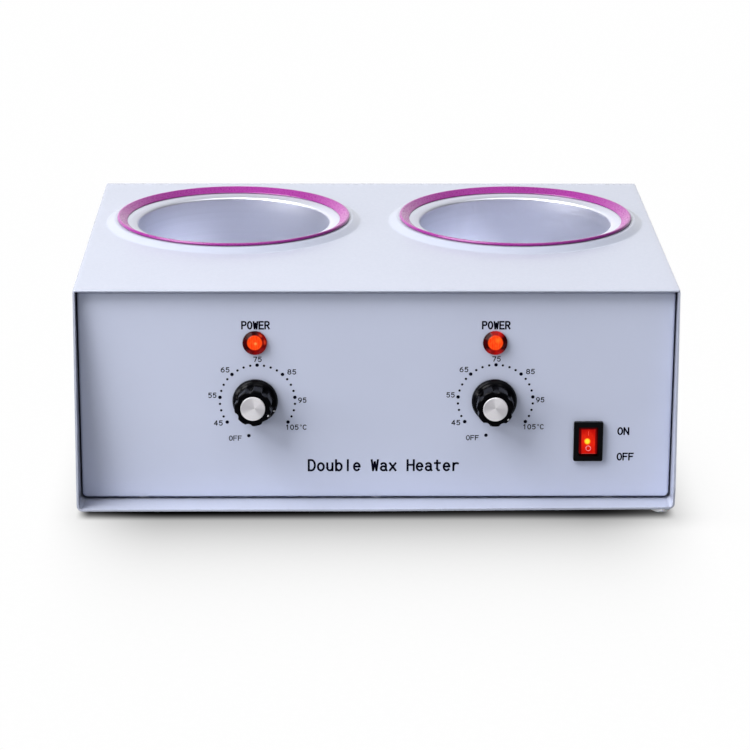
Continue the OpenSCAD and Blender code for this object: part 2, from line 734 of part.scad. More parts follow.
// thermostat to heater band, and pilot lamp to thermostat
module band_and_lamp_wires(side) {
    band_x = pot_axis(side) - 9;
    lamp_x = dial_x(side) + side * 2.5;
    sweep([
        at_tag(side, -1, 1),
        at_tag(side, -1, 1, 48),
        [band_x, pot_y - 76, 62],
        [band_x, pot_y - band_out_r - 3, 70],
        [band_x, pot_y - band_out_r + 0.6, 70]], wire_r);
    sweep([
        behind(lamp_x, 22.1, lamp_z),
        behind(lamp_x, 32, lamp_z),
        behind(dial_x(side) + tag_x, 44, 74),
        at_tag(side, 1, 1, 48),
        at_tag(side, 1, 1)], wire_r * 0.7);
}

module left_wires() {
    color([0.1, 0.2, 0.6]) {
        sweep([
            at_terminal(0), at_terminal(0, 34), behind(70, 46, 16), behind(-30, 46, 16),
            at_tag(LEFT, 1, 0, 50), at_tag(LEFT, 1, 0)], wire_r);
        band_and_lamp_wires(LEFT);
    }
}

module right_wires() {
    start_x = switch_x - 3.4;
    color([0.1, 0.2, 0.6]) {
        sweep([
            behind(start_x, 20, switch_z + 7.6), behind(start_x, 32, switch_z + 12),
            behind(right_dial_x + 30, 48, 30),
            at_tag(RIGHT, 1, 0, 48), at_tag(RIGHT, 1, 0)], wire_r);
        band_and_lamp_wires(RIGHT);
    }
}

module earth_wire() {
    color([0.35, 0.65, 0.2]) {
        sweep([
            at_pin(1), at_pin(1, 40), [earth_x, rear_y - 44, 24],
            [earth_x, earth_y, 16], [earth_x, earth_y, floor_z + 3.1]], wire_r);
        translate([earth_x, earth_y, floor_z]) difference() {
            post(5, 0, 3, 40);
            post(big_screw_r + 0.05, -1, 3);
        }
        translate([earth_x, earth_y, base_z]) big_screw(1.9);
    }
}

lower_shell();
top_cover();
front_panel();
rear_panel();
cover_screws();
panel_screws();
panel_spacers();
panel_nuts();
feet();
inner_pot(LEFT);  // left_inner_pot
inner_pot(RIGHT);  // right_inner_pot
pot_rim(LEFT);  // left_pot_rim
pot_rim(RIGHT);  // right_pot_rim
heating_well(LEFT);  // left_heating_well
heating_well(RIGHT);  // right_heating_well
heater_band(LEFT);  // left_heater_band
heater_band(RIGHT);  // right_heater_band
band_clamp_screws();
insulation(LEFT);  // left_insulation
insulation(RIGHT);  // right_insulation
well_bracket(LEFT);  // left_well_bracket
well_bracket(RIGHT);  // right_well_bracket
bracket_screws();
bracket_nuts();
well_nuts();
thermostat_body(LEFT);  // left_thermostat_body
thermostat_body(RIGHT);  // right_thermostat_body
thermostat_shaft(LEFT);  // left_thermostat_shaft
thermostat_shaft(RIGHT);  // right_thermostat_shaft
thermostat_nuts();
capillary_bulb(LEFT);  // left_capillary_bulb
capillary_bulb(RIGHT);  // right_capillary_bulb
bulb_clips();
knob(LEFT);  // left_knob
knob(RIGHT);  // right_knob
knob_cap(LEFT);  // left_knob_cap
knob_cap(RIGHT);  // right_knob_cap
knob_screw(LEFT);  // left_knob_screw
knob_screw(RIGHT);  // right_knob_screw
lamp_lens(LEFT);  // left_lamp_lens
lamp_lens(RIGHT);  // right_lamp_lens
lamp_sockets();
neon_bulbs();
lamp_clips();
thermal_fuses();
switch_housing();
switch_rocker();
switch_terminals();
mains_inlet();
inlet_pins();
inlet_screws();
mains_wires();
left_wires();
right_wires();
earth_wire();
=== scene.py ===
"""Two-pot wax heater: a wide painted case with two round pots sunk in its top cover.

It stands on the floor plane with +Z up and its front panel (knobs, lamps, switch and print)
facing -Y; left is -X. Lengths are in millimetres and turned to metres by MM.
"""
import json
import math
import bpy
import bmesh
from mathutils import Matrix, Vector
from mathutils.geometry import delaunay_2d_cdt


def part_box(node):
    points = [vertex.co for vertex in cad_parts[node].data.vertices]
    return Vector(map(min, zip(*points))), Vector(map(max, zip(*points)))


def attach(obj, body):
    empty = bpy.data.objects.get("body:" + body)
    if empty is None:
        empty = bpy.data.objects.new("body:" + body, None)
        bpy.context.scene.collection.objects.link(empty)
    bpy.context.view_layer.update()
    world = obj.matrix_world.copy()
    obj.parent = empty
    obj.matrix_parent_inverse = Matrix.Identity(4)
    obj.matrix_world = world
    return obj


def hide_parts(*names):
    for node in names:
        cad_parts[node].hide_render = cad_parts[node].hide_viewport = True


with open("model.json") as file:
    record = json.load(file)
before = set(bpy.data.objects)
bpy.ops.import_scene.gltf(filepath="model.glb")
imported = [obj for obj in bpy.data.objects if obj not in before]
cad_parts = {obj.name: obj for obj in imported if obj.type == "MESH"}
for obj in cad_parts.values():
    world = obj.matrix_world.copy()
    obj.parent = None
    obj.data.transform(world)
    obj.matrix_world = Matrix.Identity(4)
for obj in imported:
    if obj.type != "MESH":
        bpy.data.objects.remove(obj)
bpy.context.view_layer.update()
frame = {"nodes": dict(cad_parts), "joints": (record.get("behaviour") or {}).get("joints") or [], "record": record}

MM = 0.001
PI = math.pi
SIDES = ("left", "right")


# ---------------------------------------------------------------- positions
def middle(node):
    low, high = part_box(node)
    return (low + high) / 2 / MM


def joint_place(name):
    return Vector(next(j for j in frame["joints"] if j["name"] == name)["pos_m"]) / MM


shell_low, shell_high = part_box("lower_shell")
cover_low, cover_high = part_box("top_cover")
panel_low, panel_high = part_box("front_panel")
SHEET = 1.0                                  # sheet thickness
PANEL_FRONT = panel_low.y / MM               # y of the panel's front face
COVER_TOP = shell_high.z / MM + SHEET        # upper face of the cover
COLLAR_TOP = cover_high.z / MM               # top of the collars round the pots

POT = {s: middle(s + "_pot_rim") for s in SIDES}
LAMP = {s: middle(s + "_lamp_lens") for s in SIDES}
DIAL = {s: joint_place(s + "_knob_turn") for s in SIDES}
SWITCH = middle("switch_housing")

# corner indices of a box: four corners of one end, then the four opposite them
BOX_FACES = [[0, 1, 2, 3], [4, 5, 6, 7], [0, 1, 5, 4], [1, 2, 6, 5], [2, 3, 7, 6], [3, 0, 4, 7]]


# ---------------------------------------------------------------- outlines
def arc(x, y, radius_x, radius_y, start, end, steps=14):
    """Points on an elliptic arc between two angles in degrees."""
    angles = [math.radians(start + (end - start) * k / steps) for k in range(steps + 1)]
    return [(x + radius_x * math.cos(a), y + radius_y * math.sin(a)) for a in angles]


def circle(x, y, radius, count):
    """Points round a circle, from the top."""
    angles = [2 * PI * i / count for i in range(count)]
    return [(x + radius * math.sin(a), y + radius * math.cos(a)) for a in angles]


def rounded(points, closed=False, steps=6):
    """Polyline with rounded corners: points are (x, y) or (x, y, corner radius)."""
    out, count = [], len(points)
    for i, point in enumerate(points):
        wanted = point[2] if len(point) > 2 else 0
        if wanted <= 0 or (not closed and i in (0, count - 1)):
            out.append((point[0], point[1]))
            continue
        corner = Vector(point[:2])
        back = Vector(points[i - 1][:2]) - corner
        ahead = Vector(points[(i + 1) % count][:2]) - corner
        back_length, ahead_length = back.length, ahead.length
        back, ahead = back / back_length, ahead / ahead_length
        opening = math.acos(max(-1, min(1, back.dot(ahead))))
        if opening > PI - 1e-3 or opening < 1e-3:
            out.append((point[0], point[1]))
            continue
        # the arc takes up at most about half of either neighbouring side
        setback = min(wanted / math.tan(opening / 2), 0.49 * back_length, 0.49 * ahead_length)
        radius = setback * math.tan(opening / 2)
        centre = corner + (back + ahead).normalized() * (radius / math.sin(opening / 2))
        first = corner + back * setback - centre
        last = corner + ahead * setback - centre
        start = math.atan2(first.y, first.x)
        sweep = (math.atan2(last.y, last.x) - start + PI) % (2 * PI) - PI
        for k in range(steps + 1):
            angle = start + sweep * k / steps
            out.append((centre.x + radius * math.cos(angle), centre.y + radius * math.sin(angle)))
    return out


def rounded_rectangle(x_span, y_span, radii, inset, steps=7):
    """Rectangle moved in by inset; radii go anticlockwise from the corner of greatest x and y."""
    (x_min, x_max), (y_min, y_max) = x_span, y_span
    corners = ((x_max, y_max, 1, 1), (x_min, y_max, -1, 1),
               (x_min, y_min, -1, -1), (x_max, y_min, 1, -1))
    points = []
    for i, ((x, y, side_x, side_y), radius) in enumerate(zip(corners, radii)):
        left_over = max(radius - inset, 0.02)
        centre_x = x - side_x * (inset + left_over)
        centre_y = y - side_y * (inset + left_over)
        points += arc(centre_x, centre_y, left_over, left_over, 90 * i, 90 * i + 90, steps)
    return points


# ---------------------------------------------------------------- meshes
def shade(mesh, sharp):
    """Smooth shading, with edges steeper than sharp degrees kept crisp."""
    for polygon in mesh.polygons:
        polygon.use_smooth = True
    mesh.set_sharp_from_angle(angle=math.radians(sharp))


def object_from(name, edit, sharp, mesh=None):
    """Turns a bmesh into a linked object, written to the given mesh or to a new one."""
    if mesh is None:
        mesh = bpy.data.meshes.new(name)
    bmesh.ops.recalc_face_normals(edit, faces=edit.faces)
    edit.to_mesh(mesh)
    edit.free()
    shade(mesh, sharp)
    made = bpy.data.objects.new(name, mesh)
    bpy.context.scene.collection.objects.link(made)
    return made


def solid(name, verts, faces, sharp):
    """Object from points in millimetres and faces."""
    mesh = bpy.data.meshes.new(name)
    mesh.from_pydata([(x * MM, y * MM, z * MM) for x, y, z in verts], [], faces)
    edit = bmesh.new()
    edit.from_mesh(mesh)
    bmesh.ops.remove_doubles(edit, verts=edit.verts, dist=1e-7)
    return object_from(name, edit, sharp, mesh)


def lathe(name, profile, centre, axis, segments, sharp, closed=True, shape=None):
    """Turns a (radius, height) profile about an axis through centre.

    Height is z for axis Z, and the distance in front of the panel for axis Y.
    shape(k, radius, angle) may change the radius of profile point k.
    """
    verts, rings, faces = [], [], []

    def add(across, up, height):
        if axis == "Z":
            verts.append((centre.x + across, centre.y + up, height))
        else:
            verts.append((centre.x + across, PANEL_FRONT - height, centre.z + up))
        return len(verts) - 1

    for k, (radius, height) in enumerate(profile):
        if radius < 1e-6:
            rings.append([add(0, 0, height)])
            continue
        ring = []
        for i in range(segments):
            angle = 2 * PI * i / segments
            shaped = shape(k, radius, angle) if shape else radius
            ring.append(add(shaped * math.sin(angle), shaped * math.cos(angle), height))
        rings.append(ring)
    count = len(profile)
    for k in range(count if closed else count - 1):
        here, following = rings[k], rings[(k + 1) % count]
        if len(here) == 1 and len(following) == 1:
            continue
        for i in range(segments):
            j = (i + 1) % segments
            if len(here) == 1:
                faces.append([here[0], following[i], following[j]])
            elif len(following) == 1:
                faces.append([here[i], here[j], following[0]])
            else:
                faces.append([here[i], here[j], following[j], following[i]])
    return solid(name, verts, faces, sharp)


def new_verts(edit, points):
    return [edit.verts.new((x * MM, y * MM, z * MM)) for x, y, z in points]


def bridge(edit, *loops):
    """Quads between each loop of vertices and the next."""
    for here, following in zip(loops, loops[1:]):
        for i in range(len(here)):
            j = (i + 1) % len(here)
            edit.faces.new((here[i], here[j], following[j], following[i]))


def fill(edit, loops, axes=(0, 1)):
    """Flat triangles between an outer loop and hole loops, in the plane of the two axes."""
    verts = [v for loop in loops for v in loop]
    points = [Vector((v.co[axes[0]] / MM, v.co[axes[1]] / MM)) for v in verts]
    edges, polygons, first = [], [], 0
    for loop in loops:
        ids = list(range(first, first + len(loop)))
        polygons.append([points[i] for i in ids])
        edges += [(ids[i], ids[(i + 1) % len(ids)]) for i in range(len(ids))]
        first += len(loop)

    def inside(spot):
        hit = False
        for polygon in polygons:
            last = polygon[-1]
            for this in polygon:
                if (last.y > spot.y) != (this.y > spot.y):
                    slope = (this.x - last.x) * (spot.y - last.y) / (this.y - last.y)
                    if spot.x < slope + last.x:
                        hit = not hit
                last = this
        return hit

    result = delaunay_2d_cdt(points, edges, [], 0, 1e-6)
    source = [ids[0] if ids else None for ids in result[3]]
    for triangle in result[2]:
        centre = sum((result[0][i] for i in triangle), Vector((0, 0))) / 3
        if inside(centre) and all(source[i] is not None for i in triangle):
            corners = [verts[source[i]] for i in triangle]
            if len(set(corners)) == 3 and edit.faces.get(corners) is None:
                edit.faces.new(corners)


def cut(target, cutter):
    """Boolean difference, applied; the cutter is removed."""
    modifier = target.modifiers.new("cut", "BOOLEAN")
    modifier.operation = "DIFFERENCE"
    modifier.object = cutter
    modifier.solver = "EXACT"
    depsgraph = bpy.context.evaluated_depsgraph_get()
    mesh = bpy.data.meshes.new_from_object(target.evaluated_get(depsgraph))
    target.modifiers.clear()
    target.data = mesh
    bpy.data.objects.remove(cutter)


def soften(node, width, segments, angle):
    """Welded and bevelled edges as modifiers, so the CAD mesh itself stays as it is."""
    weld = node.modifiers.new("weld", "WELD")
    weld.merge_threshold = 0.000002
    bevel = node.modifiers.new("bevel", "BEVEL")
    bevel.width = width * MM
    bevel.segments = segments
    bevel.limit_method = "ANGLE"
    bevel.angle_limit = math.radians(angle)
    bevel.harden_normals = False
    bevel.use_clamp_overlap = True


# ---------------------------------------------------------------- shader graphs
MATERIALS = {}
SOCKETS = {
    "color": "Base Color", "rough": "Roughness", "metal": "Metallic", "coat": "Coat Weight",
    "coat_rough": "Coat Roughness", "specular": "Specular IOR Level", "stretch": "Anisotropic",
    "subsurface": "Subsurface Weight", "transmission": "Transmission Weight",
    "glow": "Emission Color", "glow_strength": "Emission Strength", "sheen": "Sheen Weight"}


def scaled(color, factor):
    return tuple(min(1, c * factor) for c in color)


class Graph:
    """Node tree of a material or world. Values may be numbers, tuples or output sockets."""

    def __init__(self, owner, output, coords="Object"):
        owner.use_nodes = True
        self.tree = owner.node_tree
        self.tree.nodes.clear()
        self.output = self.node(output)
        self.coords = self.node("ShaderNodeTexCoord").outputs[coords]

    def node(self, kind, **settings):
        made = self.tree.nodes.new(kind)
        for key, value in settings.items():
            setattr(made, key, value)
        return made

    def put(self, socket, value):
        if isinstance(value, bpy.types.NodeSocket):
            self.tree.links.new(value, socket)
            return
        if socket.type == "RGBA":
            value = (*value, 1)
        socket.default_value = value

    def math(self, operation, first, second=0.0):
        made = self.node("ShaderNodeMath", operation=operation)
        self.put(made.inputs[0], first)
        self.put(made.inputs[1], second)
        return made.outputs[0]

    def product(self, first, *others):
        for other in others:
            first = self.math("MULTIPLY", first, other)
        return first

    def length(self, first, second):
        squares = [self.math("MULTIPLY", v, v) for v in (first, second)]
        return self.math("SQRT", self.math("ADD", *squares))

    def remap(self, value, over=(0.0, 1.0), to=(0.0, 1.0), smooth=False):
        """Takes the range over to the range to, clamped."""
        kind = "SMOOTHSTEP" if smooth else "LINEAR"
        made = self.node("ShaderNodeMapRange", interpolation_type=kind)
        for socket, number in zip(made.inputs, (value, *over, *to)):
            self.put(socket, number)
        return made.outputs[0]

    def near(self, value, target, over):
        """1 close to the target, falling to 0 as the distance crosses over."""
        distance = self.math("ABSOLUTE", self.math("SUBTRACT", value, target))
        return self.remap(distance, over, to=(1, 0))

    def noise(self, scale, detail=3.0, rough=0.5, at=None):
        made = self.node("ShaderNodeTexNoise")
        self.put(made.inputs["Vector"], self.coords if at is None else at)
        made.inputs["Scale"].default_value = scale
        made.inputs["Detail"].default_value = detail
        made.inputs["Roughness"].default_value = rough
        return made.outputs["Fac"]

    def mix(self, factor, first, second):
        made = self.node("ShaderNodeMix", data_type="RGBA", blend_type="MIX")
        for index, value in ((0, factor), (6, first), (7, second)):
            self.put(made.inputs[index], value)
        return made.outputs[2]

    def split(self, vector):
        made = self.node("ShaderNodeSeparateXYZ")
        self.put(made.inputs[0], vector)
        return made.outputs

    def local(self, centre):
        """x, y and z in millimetres from centre."""
        offset = self.node("ShaderNodeVectorMath", operation="SUBTRACT")
        self.put(offset.inputs[0], self.coords)
        self.put(offset.inputs[1], tuple(c * MM for c in centre))
        scale = self.node("ShaderNodeVectorMath", operation="SCALE")
        self.put(scale.inputs[0], offset.outputs[0])
        scale.inputs["Scale"].default_value = 1000.0
        return self.split(scale.outputs[0])

    def vector(self, x, y, z):
        made = self.node("ShaderNodeCombineXYZ")
        for socket, value in zip(made.inputs, (x, y, z)):
            self.put(socket, value)
        return made.outputs[0]

    def by_ray(self, kind, other, glossy, camera):
        """Output of three (color, strength) lights: for reflections, the camera and the rest."""
        def light(color, strength):
            made = self.node(kind)
            self.put(made.inputs[0], color)
            self.put(made.inputs[1], strength)
            return made.outputs[0]

        rays = self.node("ShaderNodeLightPath").outputs
        shown = light(*other)
        for ray, values in (("Is Glossy Ray", glossy), ("Is Camera Ray", camera)):
            made = self.node("ShaderNodeMixShader")
            for socket, value in zip(made.inputs, (rays[ray], shown, light(*values))):
                self.put(socket, value)
            shown = made.outputs[0]
        self.put(self.output.inputs[0], shown)


class Surface(Graph):
    """Material with a Principled shader, kept in MATERIALS."""

    def __init__(self, name):
        MATERIALS[name] = bpy.data.materials.new(name)
        super().__init__(MATERIALS[name], "ShaderNodeOutputMaterial")
        self.shader = self.node("ShaderNodeBsdfPrincipled")
        self.put(self.output.inputs[0], self.shader.outputs[0])

    def finish(self, **values):
        for key, value in values.items():
            self.put(self.shader.inputs[SOCKETS[key]], value)

    def bump(self, height, strength, depth, under=None):
        """Bump of depth in millimetres on top of the bump under; the shader uses the last."""
        made = self.node("ShaderNodeBump")
        made.inputs["Strength"].default_value = strength
        made.inputs["Distance"].default_value = depth * MM
        self.put(made.inputs["Height"], height)
        if under is not None:
            self.put(made.inputs["Normal"], under)
        self.put(self.shader.inputs["Normal"], made.outputs[0])
        return made.outputs[0]

    def painted_crevice_shade(self, color, dark, most, over, reach, samples):
        """Painted shade: darkens folds and creases by ambient occlusion; reach is in metres, most is the share of
        dark in the deepest ones.
        """
        made = self.node("ShaderNodeAmbientOcclusion")
        made.samples = samples
        made.inputs["Distance"].default_value = reach
        return self.mix(self.remap(made.outputs["AO"], over, to=(most, 0.0)), color, dark)


# ---------------------------------------------------------------- materials
def powder(name, color, rough, coat):
    """Powder-coated sheet: fine orange peel, faint mottling, and painted shade that darkens the folds."""
    g = Surface(name)
    cloud = g.noise(scale=14)
    fine = g.noise(scale=650, detail=2)
    grain = g.noise(scale=2600, detail=2, rough=0.6)
    paint = g.mix(g.remap(cloud, over=(0.3, 0.7)), scaled(color, 0.975), scaled(color, 1.015))
    specks = g.remap(grain, over=(0.55, 0.8), to=(0, 0.05))
    paint = g.mix(specks, paint, scaled(color, 0.8))
    # painted shade: folds and creases darkened by ambient occlusion
    paint = g.painted_crevice_shade(paint, scaled(color, 0.45), most=0.35, over=(0.15, 0.9), reach=0.003,
                       samples=4)
    g.finish(color=paint, rough=g.remap(fine, over=(0.3, 0.7), to=(rough - 0.05, rough + 0.06)),
             coat=coat, coat_rough=0.26, specular=0.45)
    peel = g.bump(fine, strength=0.10, depth=0.05)
    g.bump(grain, strength=0.06, depth=0.015, under=peel)


def spun(name, centre, axis, color, rough, ring_scale, ring_depth, stretch,
         mottle=0.05, metal=1.0, painted_light_span=None, painted_light_wedges=0.0):
    """Spun aluminium: rings from the tool, anisotropic about the axis; can add painted light towards +X and
    painted light and shade in wedges.
    """
    g = Surface(name)
    x, y, z = g.local(centre)
    up, height = (y, z) if axis == "Z" else (z, y)
    radius = g.length(x, up)
    rings = g.noise(scale=ring_scale, detail=4, rough=0.65, at=g.vector(radius, height, 0.0))
    bands = g.noise(scale=ring_scale * 0.12, detail=2, at=g.vector(radius, height, 3.0))
    blotches = g.noise(scale=35)
    turned = g.math("ADD", g.product(rings, 0.6), g.product(bands, 0.4))
    paint = g.mix(g.remap(turned, over=(0.35, 0.65)),
                  scaled(color, 1 - mottle), scaled(color, 1 + mottle))
    paint = g.mix(g.remap(blotches, over=(0.5, 0.75), to=(0, 0.25)), paint, scaled(color, 0.93))
    if painted_light_span:
        # painted light: brighter towards +X, the side the key light falls on, between the two x places given
        paint = g.mix(g.remap(x, over=painted_light_span), paint, scaled(color, 1.13))
    if painted_light_wedges:
        # painted highlight and shade: two pairs of bright and dark wedges, as light falls on the spun disc
        angle = g.math("ARCTAN2", x, up)
        double = g.math("SINE", g.math("ADD", g.product(angle, 2.0), 0.75))
        fivefold = g.math("SINE", g.math("ADD", g.product(angle, 5.0), 0.3))
        wave = g.math("ADD", double, g.product(fivefold, 0.25))
        dark = g.remap(wave, over=(-0.9, 0.7), to=(painted_light_wedges, 0.0))
        paint = g.mix(dark, paint, scaled(color, 0.6))
    tangent = g.node("ShaderNodeTangent", direction_type="RADIAL", axis=axis)
    g.put(g.shader.inputs["Tangent"], tangent.outputs[0])
    g.finish(color=paint, metal=metal, stretch=stretch,
             rough=g.remap(turned, over=(0.3, 0.7), to=(rough - 0.05, rough + 0.07)))
    g.bump(rings, strength=0.35, depth=ring_depth)


def plain(name, color, rough, metal=0.0, vary=0.06, patches=120, bump=0.15, grain=900,
          depth=0.03, rough_vary=0.1, **extra):
    """One color, varied in patches, with a fine grain; patches and grain are noise scales."""
    g = Surface(name)
    patchy = g.noise(scale=patches, detail=4, rough=0.6)
    fine = g.noise(scale=grain, detail=3, rough=0.55)
    roughness = (max(0.02, rough - rough_vary), rough + rough_vary)
    g.finish(color=g.mix(patchy, scaled(color, 1 - vary), scaled(color, 1 + vary)),
             rough=g.remap(patchy, over=(0.3, 0.7), to=roughness), metal=metal, **extra)
    g.bump(fine, strength=bump, depth=depth)


def wire_green():
    """Green wire with a diagonal yellow stripe."""
    g = Surface("wire_green")
    wave = g.node("ShaderNodeTexWave", wave_type="BANDS", bands_direction="DIAGONAL")
    g.put(wave.inputs["Vector"], g.coords)
    wave.inputs["Scale"].default_value = 160
    stripe = g.remap(wave.outputs["Fac"], over=(0.45, 0.55))
    g.finish(color=g.mix(stripe, (0.12, 0.42, 0.06), (0.8, 0.66, 0.05)), rough=0.45)


def glass_wool():
    """Needled glass-wool mat, its fibres drawn out along y."""
    g = Surface("glass_wool")
    fibre_space = g.vector(g.product(g.split(g.coords)[0], 3.0), g.split(g.coords)[1],
                           g.product(g.split(g.coords)[2], 6.0))
    fibres = g.noise(scale=900, detail=5, rough=0.75, at=fibre_space)
    g.finish(color=g.mix(fibres, (0.62, 0.54, 0.36), (0.95, 0.9, 0.76)), rough=0.9, sheen=0.4)
    g.bump(fibres, strength=0.8, depth=0.6)


def rim_plastic():
    """Glossy moulded purple plastic, with a painted sheen that lightens it where it is seen edge-on, and painted
    shade in its creases.
    """
    g = Surface("rim_plastic")
    cloud = g.noise(scale=30)
    fine = g.noise(scale=1500, detail=2)
    facing = g.node("ShaderNodeLayerWeight")
    facing.inputs["Blend"].default_value = 0.35
    paint = g.mix(g.remap(cloud, over=(0.3, 0.7)), (0.25, 0.018, 0.21), (0.295, 0.024, 0.25))
    # painted sheen: lighter where the surface is seen edge-on
    painted_sheen = g.remap(facing.outputs["Facing"], over=(0.3, 0.85), to=(0.0, 0.6))
    paint = g.mix(painted_sheen, paint, (0.55, 0.13, 0.47))
    # painted shade: creases darkened by ambient occlusion
    paint = g.painted_crevice_shade(paint, (0.10, 0.012, 0.09), most=0.8, over=(0.25, 0.75), reach=0.002,
                       samples=16)
    g.finish(color=paint, rough=g.remap(fine, over=(0.3, 0.7), to=(0.26, 0.30)), coat=0.25,
             coat_rough=0.12, subsurface=0.05, specular=0.4)
    g.shader.inputs["Subsurface Radius"].default_value = (0.002, 0.0006, 0.002)
    g.bump(fine, strength=0.03, depth=0.01)


def knob_black():
    """Black glossy plastic with faint scuffs."""
    g = Surface("knob_black")
    scuffs = g.noise(scale=420, detail=5, rough=0.7)
    fine = g.noise(scale=2600, detail=2)
    g.finish(color=g.mix(g.remap(scuffs, over=(0.45, 0.75)),
                         (0.001, 0.001, 0.0015), (0.004, 0.004, 0.006)),
             rough=g.remap(scuffs, over=(0.4, 0.7), to=(0.14, 0.26)),
             coat=0.03, coat_rough=0.06, specular=0.085)
    g.bump(fine, strength=0.06, depth=0.01)


def lens(side, lobes, eye, eye_reach, eye_color, glint):
    """Clear red lens lit from behind: uneven orange core in a dark ring.

    lobes are bright stretches of the ring (mid angle, half width, strength), eye is the
    (x, z) of the brightest spot, glint the strength of two small glints in the ring.
    Angles are radians clockwise from the top, seen from the front.
    """
    g = Surface("lens_" + side)
    x, _, z = g.local((LAMP[side].x, 0, LAMP[side].z))
    core_distance = g.length(x, g.math("SUBTRACT", z, 0.75))
    core = g.remap(core_distance, over=(3.55, 4.1), to=(1.0, 0.0))
    cloud = g.noise(scale=1.0, rough=0.6, at=g.vector(g.product(x, 1.0), g.product(z, 0.45), 0.0))
    flutes = g.math("SINE", g.product(x, 5.2))
    eye_distance = g.length(g.math("SUBTRACT", x, eye[0]), g.math("SUBTRACT", z, eye[1]))
    spot = g.remap(eye_distance, over=(0.15, eye_reach), to=(1.0, 0.0))
    light = g.mix(g.remap(cloud, over=(0.38, 0.62)), (1.0, 0.028, 0.003), (1.0, 0.085, 0.010))
    light = g.mix(g.remap(flutes, over=(-1, 1), to=(0.0, 0.35)), light, (1.0, 0.12, 0.018))
    light = g.mix(g.product(spot, 0.85), light, eye_color)

    patches = g.noise(scale=0.42, detail=2, at=g.vector(x, z, 1.0))
    ring = g.mix(g.remap(patches, over=(0.4, 0.62)), (0.004, 0.0, 0.001), (0.045, 0.001, 0.002))
    angle = g.math("ARCTAN2", x, z)
    for middle_angle, half, strength in lobes:
        # the cosine rises from the outer end of the lobe to its inner end
        ends = (math.cos(min(half + 0.3, PI)), math.cos(max(half - 0.15, 0.0)))
        cosine = g.math("COSINE", g.math("SUBTRACT", angle, middle_angle))
        lobe = g.product(g.remap(cosine, over=ends, to=(0.0, strength)),
                         g.remap(patches, over=(0.38, 0.58), to=(0.55, 1.0)))
        ring = g.mix(lobe, ring, (0.95, 0.016, 0.014))
    # glints at about one and three o'clock
    glints = g.math("MAXIMUM", g.near(angle, 0.62, over=(0.08, 0.26)),
                    g.near(angle, 1.42, over=(0.08, 0.34)))
    glints = g.product(glints, g.near(g.length(x, z), 5.2, over=(0.2, 0.7)), glint)
    ring = g.mix(glints, ring, (1.0, 0.07, 0.02))
    g.finish(color=g.mix(core, (0.02, 0.0005, 0.001), (0.06, 0.002, 0.0)),
             glow=g.mix(core, ring, light), glow_strength=g.remap(core, to=(0.6, 1.0)),
             rough=0.12, coat=0.02, coat_rough=0.04, specular=0.05)
    g.bump(cloud, strength=0.05, depth=0.05)


def neon_glass():
    g = Surface("neon_glass")
    patches = g.noise(scale=700, detail=2)
    g.finish(color=(1, 0.5, 0.2), glow=g.mix(patches, (1, 0.2, 0.04), (1, 0.5, 0.12)),
             glow_strength=1.5, rough=0.1, transmission=0.4)


def rocker_red():
    """Lit clear-red rocker: hot spot near the middle, dark flanks, lighter lower edge."""
    g = Surface("rocker_red")
    x, _, z = g.local((SWITCH.x, 0, SWITCH.z))
    distance = g.length(g.math("ADD", x, 0.5), g.math("SUBTRACT", z, 0.15))
    hot = g.remap(distance, over=(0.9, 1.75), to=(1.0, 0.0))
    halo = g.remap(distance, over=(1.2, 6.5), to=(1.0, 0.0))
    cloud = g.noise(scale=0.5, at=g.vector(x, g.product(z, 0.5), 0.0))
    flanks = g.remap(g.math("ABSOLUTE", x), over=(3.35, 3.75))
    lower_edge = g.remap(z, over=(-6.3, -5.5), to=(1.0, 0.0))
    upper_edge = g.remap(z, over=(6.2, 6.8))
    light = g.mix(halo, (0.52, 0.002, 0.001), (0.92, 0.022, 0.005))
    light = g.mix(g.remap(cloud, over=(0.45, 0.7), to=(0, 0.6)), light, (0.95, 0.034, 0.010))
    light = g.mix(g.product(lower_edge, 0.6), light, (1.0, 0.16, 0.14))
    light = g.mix(flanks, light, (0.09, 0.0, 0.001))
    light = g.mix(upper_edge, light, (0.03, 0.0, 0.001))
    g.finish(color=(0.10, 0.001, 0.001), glow=g.mix(hot, light, (1.0, 0.70, 0.03)),
             glow_strength=g.remap(hot, to=(0.8, 1.2)), rough=0.24, coat=0.03, coat_rough=0.08,
             specular=0.12)
    g.bump(cloud, strength=0.05, depth=0.05)


powder("case_paint", color=(0.455, 0.485, 0.595), rough=0.40, coat=1.0)
powder("panel_paint", color=(0.615, 0.66, 0.83), rough=0.40, coat=0.12)
# painted light inside each pot: brighter towards +X, where the key light falls, over these x spans
POT_PAINTED_LIGHT = {"left": (-25, 48), "right": (-48, 5)}
for side in SIDES:
    spun("pot_" + side, POT[side], "Z", color=(0.748, 0.765, 0.848), rough=0.41,
         ring_scale=3.2, ring_depth=0.012, stretch=0.4, painted_light_span=POT_PAINTED_LIGHT[side])
    # the knob discs carry painted highlight and shade in wedges
    spun("disc_" + side, (DIAL[side].x, 0, DIAL[side].z), "Y", color=(0.96, 0.93, 1.0), rough=0.36,
         ring_scale=9.0, ring_depth=0.004, stretch=0.5, mottle=0.07, metal=0.2, painted_light_wedges=0.8)
plain("screw_steel", color=(0.56, 0.56, 0.58), rough=0.3, metal=1.0, vary=0.12, patches=400,
      bump=0.2, grain=1800, depth=0.02)
plain("nylon", color=(0.84, 0.84, 0.82), rough=0.45, vary=0.03, subsurface=0.1)
plain("foot_rubber", color=(0.74, 0.75, 0.80), rough=0.38, vary=0.04, patches=90,
      subsurface=0.25, specular=0.5)
plain("well_aluminium", color=(0.62, 0.62, 0.65), rough=0.38, metal=1.0, vary=0.08, patches=60)
plain("band_steel", color=(0.42, 0.42, 0.43), rough=0.42, metal=1.0, vary=0.18, patches=45,
      bump=0.25, grain=700)
